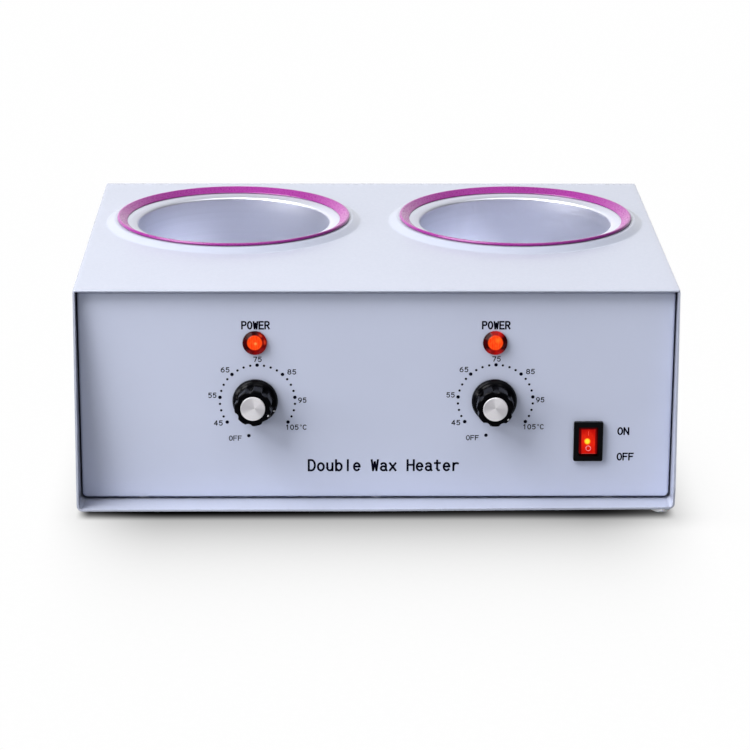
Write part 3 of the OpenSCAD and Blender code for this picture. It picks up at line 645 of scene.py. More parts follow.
plain("thermostat_case", color=(0.66, 0.62, 0.5), rough=0.5)
plain("shaft_steel", color=(0.6, 0.6, 0.62), rough=0.28, metal=1.0, patches=700)
plain("capillary_copper", color=(0.62, 0.3, 0.17), rough=0.34, metal=1.0, vary=0.18, patches=90)
plain("socket_black", color=(0.02, 0.02, 0.022), rough=0.42, vary=0.2, patches=200,
      bump=0.2, grain=2200)
plain("fuse_ceramic", color=(0.76, 0.75, 0.70), rough=0.6, vary=0.05)
plain("terminal_brass", color=(0.78, 0.58, 0.25), rough=0.3, metal=1.0, vary=0.12, patches=250)
plain("wire_brown", color=(0.26, 0.12, 0.05), rough=0.45, vary=0.08)
plain("wire_blue", color=(0.04, 0.1, 0.5), rough=0.45, vary=0.08)
plain("switch_black", color=(0.003, 0.003, 0.004), rough=0.34, vary=0.3, patches=300,
      bump=0.12, grain=2600, depth=0.01, rough_vary=0.05, specular=0.18)
wire_green()
glass_wool()
rim_plastic()
knob_black()
plain("pointer_white", color=(0.68, 0.69, 0.70), rough=0.5, vary=0.12, patches=900,
      bump=0.2, grain=3000, depth=0.01)
plain("panel_ink", color=(0.0025, 0.0025, 0.013), rough=0.6, vary=0.3, patches=1500,
      bump=0.15, grain=4000, depth=0.006, specular=0.06)
lens("left", lobes=[(1.0, 0.6, 0.35), (2.9, 0.9, 0.32)], eye=(0.45, 0.35), eye_reach=1.0,
     eye_color=(1.0, 0.42, 0.10), glint=1.0)
lens("right", lobes=[(0.2, 0.42, 1.0), (3.2, 0.75, 0.62)], eye=(1.3, 2.0), eye_reach=2.0,
     eye_color=(1.0, 0.20, 0.02), glint=0.0)
neon_glass()
rocker_red()
plain("rocker_mark_dim", color=(0.12, 0.01, 0.01), rough=0.4, patches=900,
      glow=(1.0, 0.07, 0.04), glow_strength=0.8)
plain("rocker_mark", color=(0.55, 0.2, 0.22), rough=0.4, patches=900,
      glow=(1.0, 0.20, 0.22), glow_strength=0.4)


def paint_nodes():
    """Gives every CAD node the material of its slot; some slots have one for each side."""
    sided = {"pot_aluminium": "pot_", "knob_disc": "disc_", "lamp_red": "lens_"}
    slots = {part["node"]: part["material_slot"] for part in frame["record"]["subparts"]}
    for name, node in frame["nodes"].items():
        key = slots[name]
        if key in sided:
            key = sided[key] + name.split("_")[0]
        if len(node.data.materials) == 0:
            node.data.materials.append(MATERIALS[key])
        for slot in node.material_slots:
            slot.link = "OBJECT"
            slot.material = MATERIALS[key]


paint_nodes()


def dress(made, material, body, slot, *nodes):
    """Gives an object its material and body, and hides the nodes it replaces, if any; slot is not used."""
    made.data.materials.clear()
    made.data.materials.append(MATERIALS[material])
    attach(made, body)
    if nodes:
        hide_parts(*nodes)


# ---------------------------------------------------------------- top cover
COVER_CORNER = 1.4
COLLAR_SEGMENTS = 256
COLLAR_FOOT = 71.4          # radius where a collar rises from the flat
FLANGE_INSET = 2.05         # from the cover's side edge
FLANGE_END_GAP = 22         # from the cover's front and back edges


def build_cover():
    """Sheet cover with a stamped collar round each pot and a flange down each side."""
    x_span = (cover_low.x / MM, cover_high.x / MM)
    y_min, y_max = cover_low.y / MM, cover_high.y / MM
    under = COVER_TOP - SHEET
    edit = bmesh.new()
    # (inset, z, corner radius) round the sheet's edge
    edge = rounded([(3.2, COVER_TOP), (0, COVER_TOP, 0.4), (0, under, 0.3), (3.2, under)], steps=4)
    loops = []
    for inset, z in edge:
        flat = rounded_rectangle(x_span, (y_min, y_max), (COVER_CORNER,) * 4, inset)
        loops.append(new_verts(edit, [(x, y, z) for x, y in flat]))
    bridge(edit, *loops)
    # (radius, z, corner radius) over a collar and back beneath it
    profile = rounded([
        (COLLAR_FOOT, COVER_TOP), (69.6, COVER_TOP, 4.5), (65.5, COLLAR_TOP, 2.2),
        (61.8, COLLAR_TOP, 0.35), (61.8, COLLAR_TOP - SHEET, 0.3),
        (64.8, COLLAR_TOP - SHEET, 1.2), (68.8, under, 1.6), (COLLAR_FOOT, under)], steps=7)
    upper, lower = [loops[0]], [loops[-1]]
    for side in SIDES:
        rings = []
        for radius, z in profile:
            flat = circle(POT[side].x, POT[side].y, radius, COLLAR_SEGMENTS)
            rings.append(new_verts(edit, [(x, y, z) for x, y in flat]))
        bridge(edit, *rings)
        upper.append(rings[0])
        lower.append(rings[-1])
    fill(edit, upper)
    fill(edit, lower)
    front, back = y_min + FLANGE_END_GAP, y_max - FLANGE_END_GAP
    for sign in (-1, 1):
        outer = sign * (x_span[1] - FLANGE_INSET)
        low, high = sorted((outer, outer + sign * SHEET))
        flat = ((low, front), (high, front), (high, back), (low, back))
        corners = new_verts(edit, [(x, y, z) for z in (cover_low.z / MM, under) for x, y in flat])
        for face in BOX_FACES:
            edit.faces.new([corners[i] for i in face])
    return object_from("cover_skin", edit, sharp=40)


dress(build_cover(), "case_paint", "root", "case_paint", "top_cover")

# ---------------------------------------------------------------- front panel
PANEL_CORNERS = (1.6, 1.6, 2.6, 2.6)        # upper two, lower two
SHAFT_HOLE = 4.9                            # radii of the round holes
LAMP_HOLE = 5.0
SWITCH_HOLE = (6.6, 9.65)                   # half width, half height


def build_panel():
    """Folded tray with holes for the knob shafts, lamps and switch."""
    x_span = (panel_low.x / MM, panel_high.x / MM)
    z_span = (panel_low.z / MM, panel_high.z / MM)
    depth = panel_high.y / MM - PANEL_FRONT
    edit = bmesh.new()

    def add_loop(flat, behind):
        return new_verts(edit, [(x, PANEL_FRONT + behind, z) for x, z in flat])

    def add_skin(edge):
        """Skin from (inset, distance behind the front face) pairs."""
        loops = [add_loop(rounded_rectangle(x_span, z_span, PANEL_CORNERS, inset), behind)
                 for inset, behind in edge]
        return loops

    outer = add_skin(rounded([(0, depth), (0, 0, 1.15), (6, 0)], steps=7))
    inner = add_skin(rounded([(SHEET, depth), (SHEET, SHEET, 0.5), (6, SHEET)], steps=4))
    bridge(edit, *outer)
    bridge(edit, *inner)
    bridge(edit, outer[0], inner[0])
    holes = []
    for side in SIDES:
        for z, radius in ((DIAL[side].z, SHAFT_HOLE), (LAMP[side].z, LAMP_HOLE)):
            holes.append(circle(DIAL[side].x, z, radius, 48))
    half_x, half_z = SWITCH_HOLE
    holes.append([(SWITCH.x + x * half_x, SWITCH.z + z * half_z)
                  for x, z in ((-1, -1), (1, -1), (1, 1), (-1, 1))])
    front, back = [outer[-1]], [inner[-1]]
    for hole in holes:
        front.append(add_loop(hole, 0))
        back.append(add_loop(hole, SHEET))
        bridge(edit, front[-1], back[-1])
    fill(edit, front, (0, 2))
    fill(edit, back, (0, 2))
    return object_from("front_panel_skin", edit, sharp=40)


dress(build_panel(), "panel_paint", "root", "panel_paint", "front_panel")

# ---------------------------------------------------------------- pots and rims
pot_low, pot_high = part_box("left_inner_pot")
rim_low, rim_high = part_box("left_pot_rim")
POT_TOP = pot_high.z / MM
POT_BOTTOM = pot_low.z / MM
POT_WALL = 52.5             # inner radius
POT_THICK = 1.2
LIP_REACH = 6.0             # how far the lip curls out, and how far it rises
LIP_RISE = 2.4
FLOOR_BEND = 4.0            # inner radius between wall and floor
POT_GROOVES = (43.6, 22.0)  # radii of shallow rings in the floor
RIM_RADIUS = (rim_high.x - rim_low.x) / 2 / MM
RIM_TOP = rim_high.z / MM
RIM_BOTTOM = rim_low.z / MM


def pot_profile():
    lip_x, lip_z = POT_WALL + LIP_REACH, POT_TOP - LIP_RISE
    bend_x = POT_WALL - FLOOR_BEND
    floor = POT_BOTTOM + POT_THICK
    bend_z = floor + FLOOR_BEND
    outer_bend = FLOOR_BEND + POT_THICK
    points = rounded([(60.4, POT_TOP - 0.6), (60.3, POT_TOP, 0.3), (58.6, POT_TOP)], steps=3)[1:-1]
    points += arc(lip_x, lip_z, LIP_REACH, LIP_RISE, 90, 180, 15)
    points += [(POT_WALL, lip_z - (lip_z - bend_z) * k / 6) for k in range(1, 6)]
    points += arc(bend_x, bend_z, FLOOR_BEND, FLOOR_BEND, 0, -90, 10)
    for groove in POT_GROOVES:
        points += [(groove + 0.4, floor), (groove, floor - 0.15), (groove - 0.4, floor)]
    points += [(0, floor), (0, POT_BOTTOM)]
    points += arc(bend_x, bend_z, outer_bend, outer_bend, -90, 0, 10)
    points += arc(lip_x, lip_z, LIP_REACH - POT_THICK, LIP_RISE - POT_THICK, 180, 90, 10)
    return points + [(60.3, POT_TOP - 1.2), (60.4, POT_TOP - 0.6)]


def rim_profile():
    """Ring seated on the collar, with a skirt down inside it."""
    seat = COLLAR_TOP + 0.1
    # (radius, z, corner radius)
    return rounded([
        (61.6, seat, 0.1), (RIM_RADIUS - 0.15, seat, 0.3), (RIM_RADIUS, RIM_TOP - 0.75, 0.6),
        (RIM_RADIUS - 0.45, RIM_TOP, 0.5), (RIM_RADIUS - 1.35, RIM_TOP - 0.03, 0.8),
        (58.5, POT_TOP + 0.6, 0.5), (58.1, POT_TOP + 0.12, 0.25), (60.6, POT_TOP + 0.1, 0.1),
        (60.6, POT_TOP - 1.3, 0.1), (59.2, POT_TOP - 1.3, 0.15), (59.2, RIM_BOTTOM, 0.3),
        (61.6, RIM_BOTTOM, 0.3)], closed=True)


for side in SIDES:
    pot = lathe(side + "_pot_spun", pot_profile(), POT[side], "Z", 256, sharp=50)
    dress(pot, "pot_" + side, side + "_pot", "pot_aluminium", side + "_inner_pot")
    rim = lathe(side + "_rim_ring", rim_profile(), POT[side], "Z", 256, sharp=45)
    dress(rim, "rim_plastic", side + "_pot", "rim_plastic", side + "_pot_rim")

# ---------------------------------------------------------------- knobs
POINTER = {"left": 116.0, "right": 130.0}       # degrees clockwise from the top
# sideways and upward slope of each knob, which sits a little askew on its shaft
LEAN = {"left": (-0.09, -0.035), "right": (0.0, -0.07)}
LEAN_START = 3.0                                # distance in front of the panel
LOBES = 7
LOBE_RADIUS = 9.6
FLUTE_CENTRE = 11.15                            # from the knob's axis
FLUTE_RADIUS = 2.5
GRIP_RADIUS = 9.1                               # nominal, at the foot of the grip
GRUB_RADIUS = 1.55
knob_low, knob_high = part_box("left_knob")
DISC_FRONT = PANEL_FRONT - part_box("left_knob_cap")[0].y / MM
KNOB_FRONT = PANEL_FRONT - knob_low.y / MM


def lobe_radius(angle):
    """Radius of the fluted grip at an angle from the middle of a lobe."""
    pitch = 2 * PI / LOBES
    from_flute = (angle % pitch) - pitch / 2
    aside = FLUTE_CENTRE * math.sin(from_flute)
    if abs(aside) >= FLUTE_RADIUS:
        return LOBE_RADIUS
    reach = math.sqrt(FLUTE_RADIUS * FLUTE_RADIUS - aside * aside)
    return min(LOBE_RADIUS, FLUTE_CENTRE * math.cos(from_flute) - reach)


def smooth_lobe(angle, width=0.035):
    """Average over a few nearby angles, which rounds the edges of the flutes."""
    return sum(lobe_radius(angle + width * k / 4) for k in range(-4, 5)) / 9


def lean(made, side):
    """Shears a knob piece askew in front of the skirt's start."""
    for vert in made.data.vertices:
        height = max(PANEL_FRONT - vert.co.y / MM - LEAN_START, 0.0)
        vert.co.x += LEAN[side][0] * height * MM
        vert.co.z += LEAN[side][1] * height * MM


def grub_hole_cutter(centre, turn):
    """Cylinder across the grip, opposite the pointer."""
    mesh = bpy.data.meshes.new("grub_hole")
    edit = bmesh.new()
    bmesh.ops.create_cone(edit, cap_ends=True, segments=32, radius1=GRUB_RADIUS * MM,
                          radius2=GRUB_RADIUS * MM, depth=7 * MM)
    edit.to_mesh(mesh)
    edit.free()
    cutter = bpy.data.objects.new("grub_hole", mesh)
    bpy.context.scene.collection.objects.link(cutter)
    place = Matrix.Translation(Vector((centre.x, PANEL_FRONT - 7.4, centre.z)) * MM)
    cutter.matrix_world = (place @ Matrix.Rotation(turn, 4, "Y")
                           @ Matrix.Translation((0, 0, -6.2 * MM)))
    return cutter


def build_knob(side, turn):
    """Black body: round skirt, fluted grip, recess for the disc and a bore behind."""
    # all profiles are (radius, distance in front of the panel, corner radius);
    # the last skirt point only sets the direction of the corner before it
    skirt = rounded([(8.2, 0.75), (11.15, 0.75, 0.15), (11.6, 1.05, 0.2), (11.55, 2.2, 0.5),
                     (10.85, 3.3, 0.9), (10.05, 3.8, 0.6), (9.45, 4.4)], steps=5)[:-1]
    grip = [(GRIP_RADIUS, 4.2), (GRIP_RADIUS, 4.8), (9.08, 7.5), (9.02, 10.5),
            (8.98, KNOB_FRONT - 0.75)]
    for degrees in (20, 40, 60, 75, 90):
        angle = math.radians(degrees)
        grip.append((8.98 - 0.6 * (1 - math.cos(angle)),
                     KNOB_FRONT - 0.75 + 0.75 * math.sin(angle)))
    inside = [(6.9, KNOB_FRONT), (6.45, KNOB_FRONT - 0.04), (6.3, KNOB_FRONT - 0.2),
              (6.3, DISC_FRONT - 1.0), (3.2, DISC_FRONT - 1.0), (0, DISC_FRONT - 1.0),
              (0, DISC_FRONT - 3.0), (3.05, DISC_FRONT - 3.0), (3.05, 3.9), (8.2, 3.9)]

    def flute(k, radius, angle):
        if len(skirt) <= k < len(skirt) + len(grip):
            return smooth_lobe(angle - turn) * (radius / GRIP_RADIUS)
        return radius

    body = lathe(side + "_knob_body", skirt + grip + inside, DIAL[side], "Y", 336, sharp=42,
                 shape=flute)
    cut(body, grub_hole_cutter(DIAL[side], turn))
    lean(body, side)
    shade(body.data, 42)
    return body


def build_disc(side):
    profile = rounded([
        (0, DISC_FRONT - 0.95), (6.25, DISC_FRONT - 0.95, 0.1), (6.25, DISC_FRONT - 0.2, 0.1),
        (6.08, DISC_FRONT, 0.1), (5.9, DISC_FRONT - 0.02, 0.1), (0, DISC_FRONT)], steps=3)
    disc = lathe(side + "_knob_disc", profile, DIAL[side], "Y", 192, sharp=30, closed=False)
    lean(disc, side)
    return disc


# painted pointer: a blob over the lobe's front edge and a thin dash across the skirt, as
# name, half width, half thickness and path of (radius, distance in front of the panel)
POINTER_MARKS = (
    ("blob", 0.55, 0.07, [
        (8.2, KNOB_FRONT + 0.03), (8.75, KNOB_FRONT + 0.01), (9.12, KNOB_FRONT - 0.2),
        (9.36, KNOB_FRONT - 0.5), (9.46, KNOB_FRONT - 0.9), (9.5, KNOB_FRONT - 1.6)]),
    ("dash", 0.27, 0.06, [
        (10.2, 3.68), (10.5, 3.52), (10.8, 3.28), (11.15, 2.92), (11.42, 2.55)]))


def build_pointer_mark(side, turn, tag, half, thick, path):
    centre, cosine, sine = DIAL[side], math.cos(turn), math.sin(turn)
    verts, faces = [], []
    last = len(path) - 1
    for k, (radius, height) in enumerate(path):
        along = (Vector(path[min(k + 1, last)]) - Vector(path[max(k - 1, 0)])).normalized()
        normal = Vector((-along.y, along.x))
        if normal.x + normal.y < 0:
            normal = -normal
        width = half * (0.7 if k in (0, last) else 1.0)
        for offset in (-thick, thick * 0.8):
            for across in (-width, width):
                out, ahead = radius + normal.x * offset, height + normal.y * offset
                verts.append((centre.x + across * cosine + out * sine, PANEL_FRONT - ahead,
                              centre.z - across * sine + out * cosine))
    for k in range(last):
        i, j = 4 * k, 4 * k + 4
        faces += [[i, i + 1, j + 1, j], [i + 2, j + 2, j + 3, i + 3],
                  [i, j, j + 2, i + 2], [i + 1, i + 3, j + 3, j + 1]]
    end = 4 * last
    faces += [[0, 2, 3, 1], [end, end + 1, end + 3, end + 2]]
    mark = solid(side + "_knob_pointer_" + tag, verts, faces, sharp=60)
    lean(mark, side)
    return mark


for side in SIDES:
    turn = math.radians(POINTER[side])
    dial = side + "_dial"
    dress(build_knob(side, turn), "knob_black", dial, "knob_black", side + "_knob")
    dress(build_disc(side), "disc_" + side, dial, "knob_disc", side + "_knob_cap")
    for mark in POINTER_MARKS:
        dress(build_pointer_mark(side, turn, *mark), "pointer_white", dial, "nylon")

# ---------------------------------------------------------------- pilot lamps
FACETS = 10
FACET_START = 1.25          # distance in front of the panel where the facets begin


def build_lens(side):
    """Faceted head in front of the panel on a hollow stem through it."""
    # (radius, distance in front of the panel, corner radius)
    profile = rounded([(0, 3.1), (4.15, 3.0, 0.12), (5.95, 1.35, 0.1), (6.2, 1.05, 0.15),
                       (6.22, 0.05, 0.1), (4.95, 0.05), (4.95, -9.2), (3.9, -9.2), (3.9, 1.4),
                       (0, 1.4)], steps=3)

    def facet(k, radius, angle):
        height = profile[k][1]
        if height < FACET_START or radius < 1:
            return radius
        pitch = 2 * PI / FACETS
        from_middle = ((angle + 0.3) % pitch) - pitch / 2
        flat = math.cos(pitch / 2) / math.cos(from_middle)
        share = min(1.0, (height - FACET_START) / 0.25)
        return radius * (1 - share + share * flat * 1.02)

    return lathe(side + "_lens_jewel", profile, LAMP[side], "Y", FACETS * 12, sharp=12,
                 closed=False, shape=facet)


for side in SIDES:
    dress(build_lens(side), "lens_" + side, "root", "lamp_red", side + "_lamp_lens")

# ---------------------------------------------------------------- CAD pieces with broken edges
# node: bevel width, bevel segments, least edge angle in degrees
SOFT_EDGES = {
    "lower_shell": (0.3, 3, 40), "rear_panel": (0.3, 2, 40), "switch_housing": (0.35, 3, 40),
    "switch_rocker": (0.22, 3, 25), "mains_inlet": (0.4, 3, 40), "feet": (0.15, 2, 35),
    "cover_screws": (0.15, 2, 35), "panel_screws": (0.15, 2, 35),
    "inlet_screws": (0.15, 2, 35), "bracket_screws": (0.15, 2, 35)}
for name, edge in SOFT_EDGES.items():
    soften(frame["nodes"][name], *edge)

# ---------------------------------------------------------------- marks on the rocker
ROCKER_PIVOT = joint_place("rocker_tilt")
ROCKER_TILT = math.radians(-9)
MARK_SUNK, MARK_PROUD = -0.03, 0.07     # back and front of a mark, from the rocker's face
RING_INNER, RING_OUTER = 1.04, 1.38
RING_HEIGHT = -4.0                      # centre of the ring, from the pivot
RING_STEPS = 40
BAR_HALF = 0.18
BAR_ENDS = (2.6, 4.8)


def rocker_point(x, height, proud):
    """Point over the rocker's two sloping faces, turned by its tilt about the pivot."""
    y, z = -(3.5 + abs(height) / 6.7 * 1.0 + proud), height
    cosine, sine = math.cos(ROCKER_TILT), math.sin(ROCKER_TILT)
    return (ROCKER_PIVOT.x + x, ROCKER_PIVOT.y + y * cosine - z * sine,
            ROCKER_PIVOT.z + y * sine + z * cosine)


def build_ring_mark():
    section = ((RING_OUTER, MARK_SUNK), (RING_OUTER, MARK_PROUD),
               (RING_INNER, MARK_PROUD), (RING_INNER, MARK_SUNK))
    verts, faces = [], []
    for k in range(RING_STEPS):
        angle = 2 * PI * k / RING_STEPS
        for radius, proud in section:
            height = RING_HEIGHT + radius * math.sin(angle)
            verts.append(rocker_point(radius * math.cos(angle), height, proud))
        here, following = 4 * k, 4 * ((k + 1) % RING_STEPS)
        for i in range(4):
            j = (i + 1) % 4
            faces.append([here + i, here + j, following + j, following + i])
    return solid("rocker_mark_off", verts, faces, sharp=40)


def build_bar_mark():
    low, high = BAR_ENDS
    corners = ((-BAR_HALF, low), (BAR_HALF, low), (BAR_HALF, high), (-BAR_HALF, high))
    verts = [rocker_point(x, height, proud)
             for proud in (MARK_SUNK, MARK_PROUD) for x, height in corners]
    return solid("rocker_mark_on", verts, BOX_FACES, sharp=40)


dress(build_ring_mark(), "rocker_mark", "rocker", "rocker_red")
dress(build_bar_mark(), "rocker_mark_dim", "rocker", "rocker_red")

# ---------------------------------------------------------------- printed legends
# single-line letters in a 1 x 1 cell, small letters 0.7 high
STROKES = {
    "0": [arc(.5, .5, .48, .5, 0, 360, 26)],
    "1": [[(.2, .8), (.55, 1)], [(.55, 1), (.55, 0)]],
    "4": [[(.72, 0), (.72, 1)], [(.72, 1), (.03, .28)], [(.03, .28), (1, .28)]],
    "5": [[(.92, 1), (.2, 1)], [(.2, 1), (.12, .55)],
          [(.12, .55)] + arc(.48, .33, .47, .33, 128, -142)],
    "6": [arc(.5, .31, .46, .31, 0, 360, 22), arc(.86, .34, .82, .66, 98, 172, 10)],
    "7": [[(.03, 1), (.97, 1)], [(.97, 1), (.38, 0)]],
    "8": [arc(.5, .75, .4, .25, 0, 360, 20), arc(.5, .26, .48, .26, 0, 360, 22)],
    "9": [arc(.5, .69, .46, .31, 0, 360, 22), arc(.14, .66, .82, .66, 278, 352, 10)],
    "C": [arc(.52, .5, .5, .5, 48, 312, 22)],
    "D": [[(0, 0), (0, 1)], [(0, 1)] + arc(.42, .5, .56, .5, 90, -90, 16) + [(0, 0)]],
    "E": [[(0, 0), (0, 1)], [(0, 1), (.95, 1)], [(0, .52), (.85, .52)], [(0, 0), (1, 0)]],
    "F": [[(0, 0), (0, 1)], [(0, 1), (1, 1)], [(0, .53), (.82, .53)]],
    "H": [[(0, 0), (0, 1)], [(1, 0), (1, 1)], [(0, .53), (1, .53)]],
    "N": [[(0, 0), (0, 1)], [(0, 1), (1, 0)], [(1, 0), (1, 1)]],
    "O": [arc(.5, .5, .5, .5, 0, 360, 26)],
    "P": [[(0, 0), (0, 1)], [(0, 1)] + arc(.6, .75, .4, .25, 90, -90, 12) + [(0, .5)]],
    "R": [[(0, 0), (0, 1)], [(0, 1)] + arc(.6, .75, .38, .25, 90, -90, 12) + [(0, .5)],
          [(.5, .5), (1, 0)]],
    "W": [[(0, 1), (.23, 0)], [(.23, 0), (.5, .8)], [(.5, .8), (.77, 0)], [(.77, 0), (1, 1)]],
    "a": [arc(.46, .5, .4, .2, 150, 0, 10) + [(.86, .12), (.96, 0)],
          arc(.45, .2, .41, .2, 0, 360, 20)],
    "b": [[(.05, 0), (.05, 1)], arc(.5, .35, .45, .35, 0, 360, 22)],
    "e": [[(.05, .37), (.95, .37)], arc(.5, .35, .46, .35, 3, 318, 22)],
    "l": [[(.5, 1), (.5, 0)]],
    "o": [arc(.5, .35, .47, .35, 0, 360, 22)],
    "r": [[(.15, 0), (.15, .7)], arc(.66, .34, .51, .36, 178, 62, 10)],
    "t": [[(.42, .95), (.42, .22)] + arc(.66, .22, .24, .22, 180, 290, 8),
          [(.03, .7), (.88, .7)]],
    "u": [[(.08, .7), (.08, .28)] + arc(.5, .28, .42, .28, 180, 360, 12), [(.92, .7), (.92, 0)]],
    "x": [[(.04, .7), (.96, 0)], [(.96, .7), (.04, 0)]],
}
# dial figures: text, x and z from the middle of the dial's print, letter pitch
FIGURES = (
    ("75", 0.2, 22.3, 2.35), ("65", -16.3, 16.7, 2.45), ("55", -23.0, 3.1, 2.35),
    ("45", -20.1, -11.8, 2.5), ("85", 17.6, 15.6, 2.45), ("95", 22.9, 0.46, 2.35),
    ("105", 17.6, -14.1, 2.35), ("OFF", -11.5, -20.0, 2.3))
PRINT_SHIFT = {"left": (1.1, -0.45), "right": (0.65, -0.3)}   # x, z of the print off the hole
POWER_X = {"left": -61.35, "right": 60.6}
DOT_CIRCLE = 19.2
BIG_DOT, SMALL_DOT = 0.92, 0.62
FIGURE_HEIGHT = 2.85
FIGURE_LINE = 0.46
INK_PROUD = 0.03            # in front of the panel
INK_THICK = 0.05

ink = []                    # flat parts: (x, z) points and their faces


def add_ribbon(points, width):
    """Ribbon along the points; open ends run on by 0.4 of the width."""
    closed = (Vector(points[0]) - Vector(points[-1])).length < 1e-6
    line = [Vector(point) for point in (points[:-1] if closed else points)]
    count = len(line)
    if not closed:
        line[0] = line[0] - (line[1] - line[0]).normalized() * width * 0.4
        line[-1] = line[-1] + (line[-1] - line[-2]).normalized() * width * 0.4
    sides = []
    for i in range(count):
        onward = arriving = None
        if closed or i < count - 1:
            onward = (line[(i + 1) % count] - line[i]).normalized()
        if closed or i:
            arriving = (line[i] - line[i - 1]).normalized()
        arriving = onward if arriving is None else arriving
        onward = arriving if onward is None else onward
        normal = Vector((-arriving.y, arriving.x))
        mitre = Vector((-(arriving + onward).y, (arriving + onward).x))
        mitre = mitre.normalized() if mitre.length > 1e-6 else normal
        sides.append(mitre * (width / 2 / max(0.5, mitre.dot(normal))))
    outline = [tuple(line[i] + sides[i]) for i in range(count)]
    outline += [tuple(line[i] - sides[i]) for i in range(count)]
    faces = [[i, (i + 1) % count, count + (i + 1) % count, count + i]
             for i in range(count if closed else count - 1)]
    ink.append((outline, faces))


def add_text(text, x, z, height, pitch, share, line):
    """Text centred at x, z; letters fill a share of the pitch, drawn with the line width."""
    width, tall = share * pitch - line, height - line
    for i, letter in enumerate(text):
        if letter == " ":
            continue
        middle_x = x + (i - (len(text) - 1) / 2) * pitch
        for points in STROKES[letter]:
            add_ribbon([(middle_x + (a - 0.5) * width, z - tall / 2 + b * tall)
                        for a, b in points], line)


def add_dot(x, z, degrees, radius, count=20):
    """Dot on the dial's circle round x, z."""
    angle = math.radians(degrees)
    x, z = x + DOT_CIRCLE * math.sin(angle), z + DOT_CIRCLE * math.cos(angle)
    turns = [2 * PI * i / count for i in range(count)]
    ink.append(([(x + radius * math.cos(t), z + radius * math.sin(t)) for t in turns],
                [list(range(count))]))


def add_degree_sign(x, z, outer=0.5, inner=0.26, count=16):
    for k in range(count):
        start, end = 2 * PI * k / count, 2 * PI * (k + 1) / count
        corners = ((start, outer), (end, outer), (end, inner), (start, inner))
        ink.append(([(x + r * math.sin(t), z + r * math.cos(t)) for t, r in corners],
                    [[0, 1, 2, 3]]))


def add_dial_print(side):
    x, z = DIAL[side].x + PRINT_SHIFT[side][0], DIAL[side].z + PRINT_SHIFT[side][1]
    for k in range(25):
        add_dot(x, z, -126 + 10.5 * k, BIG_DOT if k % 4 == 0 else SMALL_DOT)
    add_dot(x, z, -166.3, BIG_DOT)
    for text, right, up, pitch in FIGURES:
        add_text(text, x + right, z + up, FIGURE_HEIGHT, pitch, share=0.88, line=FIGURE_LINE)
    add_degree_sign(x + 22.1, z - 13.15)
    add_text("C", x + 24.1, z - 14.1, FIGURE_HEIGHT, pitch=2.5, share=0.9, line=FIGURE_LINE)
    add_text("POWER", POWER_X[side], LAMP[side].z + 9.2, 4.5, pitch=2.93, share=0.96, line=0.82)


def build_legends():
    """All the ink as one thin raised mesh."""
    edit = bmesh.new()
    for points, faces in ink:
        verts = new_verts(edit, [(x, PANEL_FRONT - INK_PROUD, z) for x, z in points])
        for face in faces:
            edit.faces.new([verts[i] for i in face])
    bmesh.ops.remove_doubles(edit, verts=edit.verts, dist=1e-6)
    extruded = bmesh.ops.extrude_face_region(edit, geom=list(edit.faces))
    for item in extruded["geom"]:
        if isinstance(item, bmesh.types.BMVert):
            item.co.y += INK_THICK * MM
    return object_from("panel_legends", edit, sharp=30)


for side in SIDES:
    add_dial_print(side)
add_text("ON", SWITCH.x + 18.0, SWITCH.z + 5.1, 4.35, pitch=3.15, share=0.96, line=0.8)
add_text("OFF", SWITCH.x + 19.4, SWITCH.z - 8.75, 4.3, pitch=3.0, share=0.96, line=0.76)
add_text("Double Wax Heater", 3.95, 21.5, 6.7, pitch=4.62, share=0.92, line=1.06)
dress(build_legends(), "panel_ink", "root", "socket_black")

# ---------------------------------------------------------------- studio
CASE_HALF_WIDTH = 153.0
CASE_FRONT = -shell_low.y / MM
STUDIO_WHITE = (0.97, 0.98, 1.0)


def floor_material():
    """Plain white floor with a soft painted shadow under, in front of and right of the case."""
    material = bpy.data.materials.new("studio_floor")
    g = Graph(material, "ShaderNodeOutputMaterial")
    x, y, _ = g.local((0, 0, 0))
    from_middle = g.math("ABSOLUTE", x)
    ahead = g.math("SUBTRACT", g.math("ABSOLUTE", y), CASE_FRONT)
    beside = g.math("SUBTRACT", from_middle, CASE_HALF_WIDTH)

    def smooth(value, over, to=(1.0, 0.0)):
        return g.remap(value, over, to, smooth=True)

    def decay(distance, start, length, strength):
        past = g.math("MAXIMUM", g.math("SUBTRACT", distance, start), 0.0)
        return g.product(g.math("EXPONENT", g.math("DIVIDE", past, -length)), strength)

    # painted shadow: wide in front, tight under the front edge, and a faint one right of the case
    wide = g.product(decay(ahead, start=1.5, length=36.5, strength=0.33),
                     smooth(from_middle, over=(105.0, 172.0)),
                     smooth(y, over=(-60.0, 150.0), to=(1.0, 0.45)))
    tight_painted_shadow = g.product(smooth(ahead, over=(-5.5, 9.0)), smooth(beside, over=(-7.0, 1.0)),
                      smooth(x, over=(-150.0, 150.0), to=(0.68, 0.50)))
    right = g.product(decay(x, start=CASE_HALF_WIDTH, length=11.0, strength=0.09),
                      smooth(y, over=(-90.0, 60.0), to=(1.0, 0.2)),
                      smooth(ahead, over=(-2.0, 26.0)),
                      smooth(x, over=(60.0, 140.0), to=(0.0, 1.0)))
    shadow = g.math("ADD", g.math("ADD", wide, tight_painted_shadow), right)
    white = g.math("MAXIMUM", g.math("SUBTRACT", 1.0, shadow), 0.04)
    white = g.math("POWER", white, 2.2)
    grain = g.remap(g.noise(scale=240, rough=0.6), over=(0.3, 0.7), to=(0.992, 1.0))
    white = g.product(white, grain)
    g.by_ray("ShaderNodeEmission", other=(STUDIO_WHITE, 0.46), glossy=(STUDIO_WHITE, 0.12),
             camera=(g.vector(white, white, white), 1.0))
    return material


